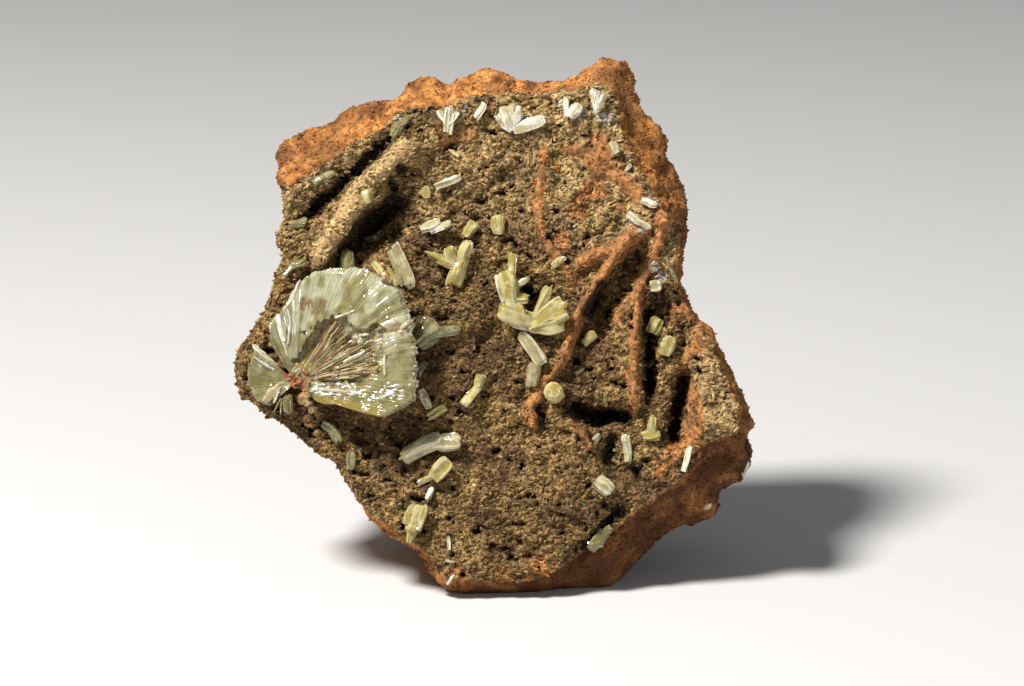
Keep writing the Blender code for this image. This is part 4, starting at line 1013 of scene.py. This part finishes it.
def ray_plate(name, rim, columns, rings, lift, seed):
    """A fan of fine rays round the hub: a grid bent into rays, and closed below."""
    bpy.ops.object.select_all(action="DESELECT")
    bpy.ops.mesh.primitive_grid_add(x_subdivisions=columns, y_subdivisions=rings, size=1)
    plate = bpy.context.object
    set_mode("EDIT")
    bpy.ops.mesh.select_all(action="SELECT")
    bpy.ops.mesh.extrude_region_move(TRANSFORM_OT_translate={"value": (0, 0, -1)})
    set_mode("OBJECT")
    flat = points_of(plate)
    turn, share = flat[:, 0] + 0.5, flat[:, 1] + 0.5
    share = 0.03 + 0.97 * share
    column = np.rint(turn * columns)
    degrees = rim[0][0] + turn * (rim[-1][0] - rim[0][0])
    reach = np.interp(degrees, [r[0] for r in rim], [r[1] for r in rim])
    key = np.stack([column, column * 0 + seed, column * 0], 1)
    tooth = np.stack([np.floor(degrees / 3.1), column * 0 + seed, column * 0 + 1], 1)
    reach = reach * (1 + 0.014 * (scatter(key, 5) - 0.5) + 0.020 * (scatter(tooth, 6) - 0.5))
    radius = reach * share
    sway = np.stack([degrees / 14, radius / 4, turn * 0 + seed], 1)
    bend = degrees + 3.0 * swell(sway, 1.0, 75) * share
    a = HUB[0] + radius * np.cos(np.radians(bend))
    b = HUB[1] + radius * np.sin(np.radians(bend))
    top = flat[:, 2] > -0.5
    rays = np.stack([degrees / 2.4, radius / 5, turn * 0 + seed], 1)
    wide = np.stack([degrees / 9, radius / 6, turn * 0 + seed], 1)
    fibre = scatter(key, 7)
    fine = 0.030 * swell(rays, 1.0, 76) + 0.10 * swell(wide, 1.0, 77) + 0.012 * (fibre - 0.5)
    spot = np.stack([a, b, a * 0], 1)
    rough = 0.07 * swell(spot, 0.9, 78) + 0.030 * swell(spot, 0.35, 79)
    fine = fine * soft(radius, 0.4, 3.0) + rough
    middle = within(a, b, BROKEN_MIDDLE) + 0.15
    middle += 0.35 * swell(spot, 0.8, 80) + 0.22 * swell(spot, 0.3, 81)
    sunk = soft(middle, -0.05, 0.22)
    # Painted glints: patches of the plate painted near-white where its highlights show
    glint = 1 - soft(np.hypot((a + 14.9) / 2.1, (b + 3.95) / 0.75), 0.7, 1.2)
    glint = np.maximum(glint, 1 - soft(np.hypot((a + 10.0) / 1.4, (b + 4.1) / 0.9), 0.6, 1.2))
    z = plate_height(a, b) + lift + fine - 0.62 * sunk * soft(radius, 0.5, 3)
    z += glint * 0.10 * swell(spot, 0.28, 82) + 0.10 * sunk * swell(spot, 0.35, 91)
    z -= 0.22 * soft(share, 0.955, 1.0)
    under = plate_height(a, b) + lift - np.interp(share, [0, 0.6, 0.93, 1], [1.5, 1.3, 0.75, 0.45])
    move_points(plate, np.stack(placed(a, b, np.where(top, z, np.minimum(under, z - 0.12))), 1))
    set_mode("EDIT")
    bpy.ops.mesh.select_all(action="SELECT")
    bpy.ops.mesh.normals_make_consistent(inside=False)
    set_mode("OBJECT")
    ragged = rough * 8
    brown = over(spot, [((-17.3, 3.3), 0.55), ((-16.5, 3.15), 0.6), ((-15.9, 3.2), 0.45)], ragged)
    stained = soft(middle, -0.5, 0.3) * (0.45 + 0.5 * swell(rays * (1.6, 1.2, 1), 1.0, 83)
                                         + 0.5 * swell(spot, 0.6, 84) + 0.3 * swell(spot, 0.25, 89))
    brown = np.maximum(brown, stained)
    brown = np.maximum(brown, over(spot, [
        (HUB, 1.2), ((-17.2, -2.6), 1.1), ((-11.7, -2.9), 0.4), ((-8.9, 1.0), 0.5),
        ((-9.6, 1.3), 0.5), ((-11, 4.9), 0.5),
    ], rough * 9))
    brown = np.maximum(brown, glint * soft(swell(spot, 0.45, 85), 0.15, 0.4) * 0.8)
    cloud = soft(1.2 * swell(rays * (0.7, 0.9, 1), 1.0, 86) + 1.1 * swell(spot, 2.2, 87)
                 + 0.8 * swell(spot, 0.7, 88), -0.35, 0.75)
    cloud *= 1 - 0.75 * over(spot, [
        ((-10.2, 4.0), 1.5), ((-9.2, -1.5), 1.5), ((-15.8, 2.6), 0.8),
    ], ragged)
    cloud = (0.15 + 1.0 * cloud) * (0.75 + 0.35 * fibre)
    cloud *= (0.30 + 0.70 * soft(b, -1.6, 1.6)) * (1 - 0.6 * soft(-a, 18.6, 19.4))
    brown = brown * (0.68 + 0.5 * swell(spot, 0.3, 93) + 0.9 * swell(spot, 0.14, 94))
    honey = over(spot, [((-16.3, -4.9), 0.6), ((-15, -5.0), 0.6), ((-13.6, -5.3), 0.7),
                        ((-12.4, -5.6), 0.7), ((-11, -5.9), 0.5)], ragged)
    honey = np.maximum(honey, 0.9 * soft(middle, -0.4, 0.2) * soft(swell(spot, 0.9, 92), -0.1, 0.5))
    honey = np.maximum(honey, 1 - soft(line_reach(a, b, HONEY_EDGE)[0] + rough, 0.30, 0.62))
    red = over(spot, [(HUB, 0.9)], ragged)
    # Painted glints along the edge-on rays at the upper left, added to the glints
    painted_ray_glints = over(spot, [
        ((-18.0, 3.4), 1.0), ((-18.6, 1.6), 1.0), ((-14.2, 2.5), 0.7), ((-11.0, 3.6), 0.9),
        ((-13.2, 6.6), 1.0), ((-20.6, -1.3), 0.7), ((-10.6, -1.6), 0.5),
    ], ragged)
    painted_ray_glints *= soft(fibre + 0.6 * swell(rays * (2.0, 1.2, 1), 1.0, 95), 0.45, 0.85)
    glint = glint * soft(swell(spot * (0.7, 1.6, 1), 0.22, 96), -0.25, 0.2)
    glint = np.maximum(glint, 0.9 * painted_ray_glints)
    keep_values(
        plate, cloud=cloud.clip(0, 1), brown=brown.clip(0, 1) * (1 - honey * 0.7),
        honey=np.where(top, honey, 0.7).clip(0, 1), red=red,
        glint=(glint * (1 - soft(brown, 0.3, 0.8))).clip(0, 1), streak=fibre,
    )
    return plate


def plate_material():
    """The plate: yellow-green and see-through, clouded white along its rays, stained brown, with
    painted glints.
    """
    material = adamite("adamite_plate", (0.175, 0.145, 0.040), (0.27, 0.235, 0.095), 0.6, 0.24,
                       0.13, (0.92, 0.93, 0.78))
    add = node_adder(material)
    nodes, links = material.node_tree.nodes, material.node_tree.links
    shader = nodes["Principled BSDF"]
    colour = shader.inputs["Base Color"].links[0].from_socket
    noise = next(n for n in nodes if n.type == "TEX_NOISE").outputs["Fac"]

    def layer(colour, name, paint, low, high):
        grainy = {0: noise, 1: 0.6, 2: kept(add, name)}
        grainy = add("Math", 0, grainy, operation="MULTIPLY_ADD")
        share = add("MapRange", "Result", {"Value": grainy, "From Min": low, "From Max": high})
        return mix(add, share, colour, paint)

    colour = layer(colour, "cloud", (0.43, 0.42, 0.265), 0.34, 1.20)
    colour = layer(colour, "honey", (0.30, 0.205, 0.040), 0.80, 1.35)
    # Painted glints, near-white
    colour = layer(colour, "glint", (0.88, 0.92, 0.93), 0.85, 1.15)
    colour = layer(colour, "brown", (0.21, 0.118, 0.034), 0.50, 1.10)
    colour = layer(colour, "red", (0.27, 0.090, 0.022), 0.60, 1.10)
    links.new(colour, shader.inputs["Base Color"])
    dull = add("MapRange", "Result", {"Value": kept(add, "brown"), "To Min": 0.15, "To Max": 0.55})
    links.new(dull, shader.inputs["Roughness"])
    return material


PLATE = plate_material()
plate = ray_plate("plate", PLATE_RIM, 380, 60, 0.0, 1)
left_fan = ray_plate("left_fan", FAN_RIM, 130, 30, 0.05, 2)
parts, looks = [plate, left_fan], [PLATE, PLATE]

# Open blades in the broken middle and at the left, and the bright edges of others
NEEDLES, HUB_LUMPS, SHORT_BLADES = 130, 46, 60
chance = np.random.default_rng(5)


def into_break(a, b):
    """How far a place lies inside the broken middle."""
    return within(np.array([a]), np.array([b]), BROKEN_MIDDLE)[0]


for index in range(NEEDLES):
    angle = math.radians(chance.uniform(-2, 62))
    start = chance.uniform(0.6, 4.5)
    end = start + chance.uniform(1.8, 4.2)
    root, tip = from_hub(start, angle), from_hub(end, angle)
    if into_break(*tip) < 0.15:
        continue
    low, high = plate_height(*root)[0], plate_height(*tip)[0]
    sink = chance.uniform(0.35, 0.62)
    root, tip = placed(*root, low - sink - 0.1), placed(*tip, high - sink + 0.12)
    width, thickness = chance.uniform(0.09, 0.20), chance.uniform(0.12, 0.24)
    parts.append(grow_blade(root, tip, width, thickness, 300 + index, 0.6))
    looks.append([BROWN, OLIVE, CLEAR, BROWN, YELLOW, BROWN, CLEAR][index % 7])
# Bright edges, the white ones standing in for glints: root, tip, width, how far they stand out and
# what they are made of
EDGES = [
    ((-18.25, 3.75), (-17.67, 5.33), 0.34, 0.15, MILKY_AND_GLINT),
    ((-18.9, 2.9), (-18.2, 3.9), 0.30, 0.15, MILKY_AND_GLINT),
    ((-18.46, 2.0), (-18.75, 3.0), 0.24, 0.20, MILKY_AND_GLINT),
    ((-18.67, -0.1), (-18.46, 2.1), 0.26, 0.20, MILKY_AND_GLINT),
    ((-19.2, -0.3), (-20.2, 1.6), 0.60, -0.15, MILKY_AND_GLINT),
    ((-19.0, 0.2), (-19.6, 2.5), 0.70, 0.0, MILKY_AND_GLINT),
    ((-19.0, -0.6), (-19.9, 0.9), 0.50, -0.2, CLEAR),
    ((-18.8, 0.4), (-19.2, 1.9), 0.50, 0.1, CLEAR),
    ((-18.5, -1.4), (-19.2, 0.6), 0.55, -0.1, CLEAR),
    ((-17.9, 0.6), (-18.0, 3.2), 0.35, 0.1, CLEAR),
    ((-20.0, -1.67), (-21.7, -0.1), 0.60, 0.05, MILKY_AND_GLINT),
    ((-19.83, -2.25), (-21.6, -1.1), 0.26, 0.25, MILKY_AND_GLINT),
    ((-19.6, -1.9), (-21.2, -0.9), 0.45, 0.15, CLEAR),
    ((-19.4, -3.5), (-20.7, -5.0), 0.95, 0.15, CLEAR),
    ((-19.3, -3.6), (-19.9, -5.1), 0.30, 0.30, MILKY_AND_GLINT),
    ((-18.6, -4.3), (-18.8, -5.95), 1.10, -0.3, OLIVE),
    ((-19.3, -4.6), (-19.9, -5.9), 0.12, 0.2, CLEAR),
    ((-19.2, -4.6), (-19.3, -6.0), 0.12, 0.2, CLEAR),
    ((-14.7, 2.1), (-13.1, 2.75), 0.30, 0.20, MILKY_AND_GLINT),
    ((-16.8, 3.7), (-16.0, 3.8), 0.22, 0.10, MILKY_AND_GLINT),
    ((-10.55, -2.7), (-10.65, -0.8), 0.36, 0.18, MILKY_AND_GLINT),
    ((-9.3, 1.2), (-8.2, 1.95), 0.45, 0.12, CLEAR),
    ((-11.6, 6.7), (-10.7, 5.8), 0.85, 0.35, YELLOW),
    ((-9.6, 4.8), (-10.4, 6.4), 0.55, 0.30, YELLOW),
    ((-15.6, -0.6), (-14.9, 0.9), 0.30, -0.1, CLEAR),
    ((-14.0, -1.6), (-12.2, -0.7), 0.34, -0.2, MILKY_AND_GLINT),
    ((-16.3, -3.75), (-13.6, -4.1), 0.40, 0.12, MILKY_AND_GLINT),
    ((-13.6, -4.0), (-12.5, -4.3), 0.30, 0.15, MILKY_AND_GLINT),
]
for index, (root, tip, width, lift, look) in enumerate(EDGES):
    low, high = plate_height(*root)[0] + lift, plate_height(*tip)[0] + lift
    parts.append(grow_blade(placed(*root, low - 0.22), placed(*tip, high - 0.12), width * 0.8,
                            width * 0.7, 500 + index, 0.35, 0.16))
    looks.append(look)
# Rusty lumps and rounded ends: place, size, how far they stand out and what they are made of
LUMPS = [
    (-17.4, -4.6, 0.50, -0.2, BROWN),
    (-16.9, -5.0, 0.42, -0.4, BROWN),
    (-16.6, -5.5, 0.38, -0.6, BROWN),
    (-17.0, -4.3, 0.36, 0.0, BROWN),
    (-10.5, 5.5, 0.44, 0.15, BROWN),
    (-10.2, 5.25, 0.30, 0.1, BROWN),
    (-8.35, -0.3, 0.20, -0.1, MILKY_AND_GLINT),
    (-8.2, -0.9, 0.15, -0.1, CLEAR),
    (-8.1, -1.9, 0.13, -0.1, CLEAR),
    (-8.2, -2.6, 0.15, -0.1, CLEAR),
    (-8.5, -3.5, 0.17, -0.1, MILKY_AND_GLINT),
]
for index, (a, b, size, lift, look) in enumerate(LUMPS):
    z = plate_height(a, b)[0] + lift
    parts.append(grow_ball(placed(a, b, z), (size, size, size), 600 + index, 0.3, 2))
    looks.append(look)
for index in range(HUB_LUMPS):
    turn, reach = chance.uniform(0, 2 * math.pi), 0.95 * chance.uniform(0, 1) ** 0.7
    a, b = HUB[0] + 0.25 + reach * math.cos(turn), HUB[1] + 0.1 + reach * math.sin(turn)
    size = chance.uniform(0.10, 0.26)
    z = plate_height(a, b)[0] + chance.uniform(-0.15, 0.08)
    parts.append(grow_ball(placed(a, b, z), (size, size * 0.7, size), 700 + index, 0.5, 1))
    looks.append(RUSTY if index % 3 else BROWN)
for index in range(SHORT_BLADES):
    spread = chance.uniform(-0.5, 1.0)
    angle = math.radians(8 + 34 * spread) + chance.normal(0, 0.35)
    a = HUB[0] + chance.uniform(2.2, 7.4) * math.cos(math.radians(2 + 50 * chance.uniform()))
    b = HUB[1] + (a - HUB[0]) * chance.uniform(0.0, 0.85)
    if into_break(a, b) < 0.1:
        continue
    reach = chance.uniform(0.3, 0.9)
    tip = (a + reach * math.cos(angle), b + reach * math.sin(angle))
    low = plate_height(a, b)[0] - chance.uniform(0.35, 0.6)
    parts.append(grow_blade(placed(a, b, low), placed(*tip, low + chance.uniform(0, 0.3)),
                            chance.uniform(0.10, 0.30), 0.14, 800 + index, 0.5, 0.25))
    looks.append([BROWN, YELLOW, BROWN, CLEAR, BROWN][index % 5])
grow_together("spray", parts, looks, "adamite_spray")


# FLOOR, LIGHT AND CAMERA
# A plain pale table, one large soft lamp at the upper left and a weak one at the right.
FLOOR_REACH = 2
floor_mesh = bpy.data.meshes.new("floor")
floor_corners = [(-FLOOR_REACH, -FLOOR_REACH, 0), (FLOOR_REACH, -FLOOR_REACH, 0),
                 (FLOOR_REACH, FLOOR_REACH, 0), (-FLOOR_REACH, FLOOR_REACH, 0)]
floor_mesh.from_pydata(floor_corners, [], [(0, 1, 2, 3)])
floor = new_piece("floor", floor_mesh)
paper = bpy.data.materials.new("pale paper")
paper.use_nodes = True
surface = paper.node_tree.nodes["Principled BSDF"].inputs
surface["Base Color"].default_value = (0.52, 0.52, 0.52, 1)
surface["Roughness"].default_value = 0.9
floor_mesh.materials.append(paper)


def lamp(name, place, size, power, colour):
    light = bpy.data.lights.new(name, "AREA")
    light.shape = "DISK"
    light.size = size
    light.energy = power
    light.color = colour
    holder = bpy.data.objects.new(name, light)
    holder.location = place
    holder.rotation_euler = (SEAM_MIDDLE - Vector(place)).to_track_quat("-Z", "Y").to_euler()
    bpy.context.scene.collection.objects.link(holder)


lamp("key", (-0.22, -0.18, 0.40), 0.10, 5.1, (1.0, 0.97, 0.93))
lamp("fill", (0.35, -0.40, 0.20), 0.30, 0.5, (0.90, 0.95, 1.0))

world = bpy.data.worlds.new("studio")
bpy.context.scene.world = world
world.use_nodes = True
sky = world.node_tree.nodes["Background"].inputs
sky["Color"].default_value = (0.90, 0.90, 0.90, 1)
sky["Strength"].default_value = 0.20

SENSOR_WIDTH, PHOTO_WIDTH, PIXELS_PER_MM = 36, 1024, 12
camera = bpy.data.cameras.new("camera")
camera.sensor_width = SENSOR_WIDTH
camera.lens = SENSOR_WIDTH * SEEN_FROM / (PHOTO_WIDTH / PIXELS_PER_MM)
camera.clip_start = 0.01
viewer = bpy.data.objects.new("camera", camera)
viewer.location = SEAM_MIDDLE + Vector((0, -math.cos(LEAN), math.sin(LEAN))) * (SEEN_FROM / 1000)
viewer.rotation_euler = (math.radians(90) - LEAN, 0, 0)
bpy.context.scene.collection.objects.link(viewer)
bpy.context.scene.camera = viewer
bpy.context.scene.view_settings.view_transform = "Standard"
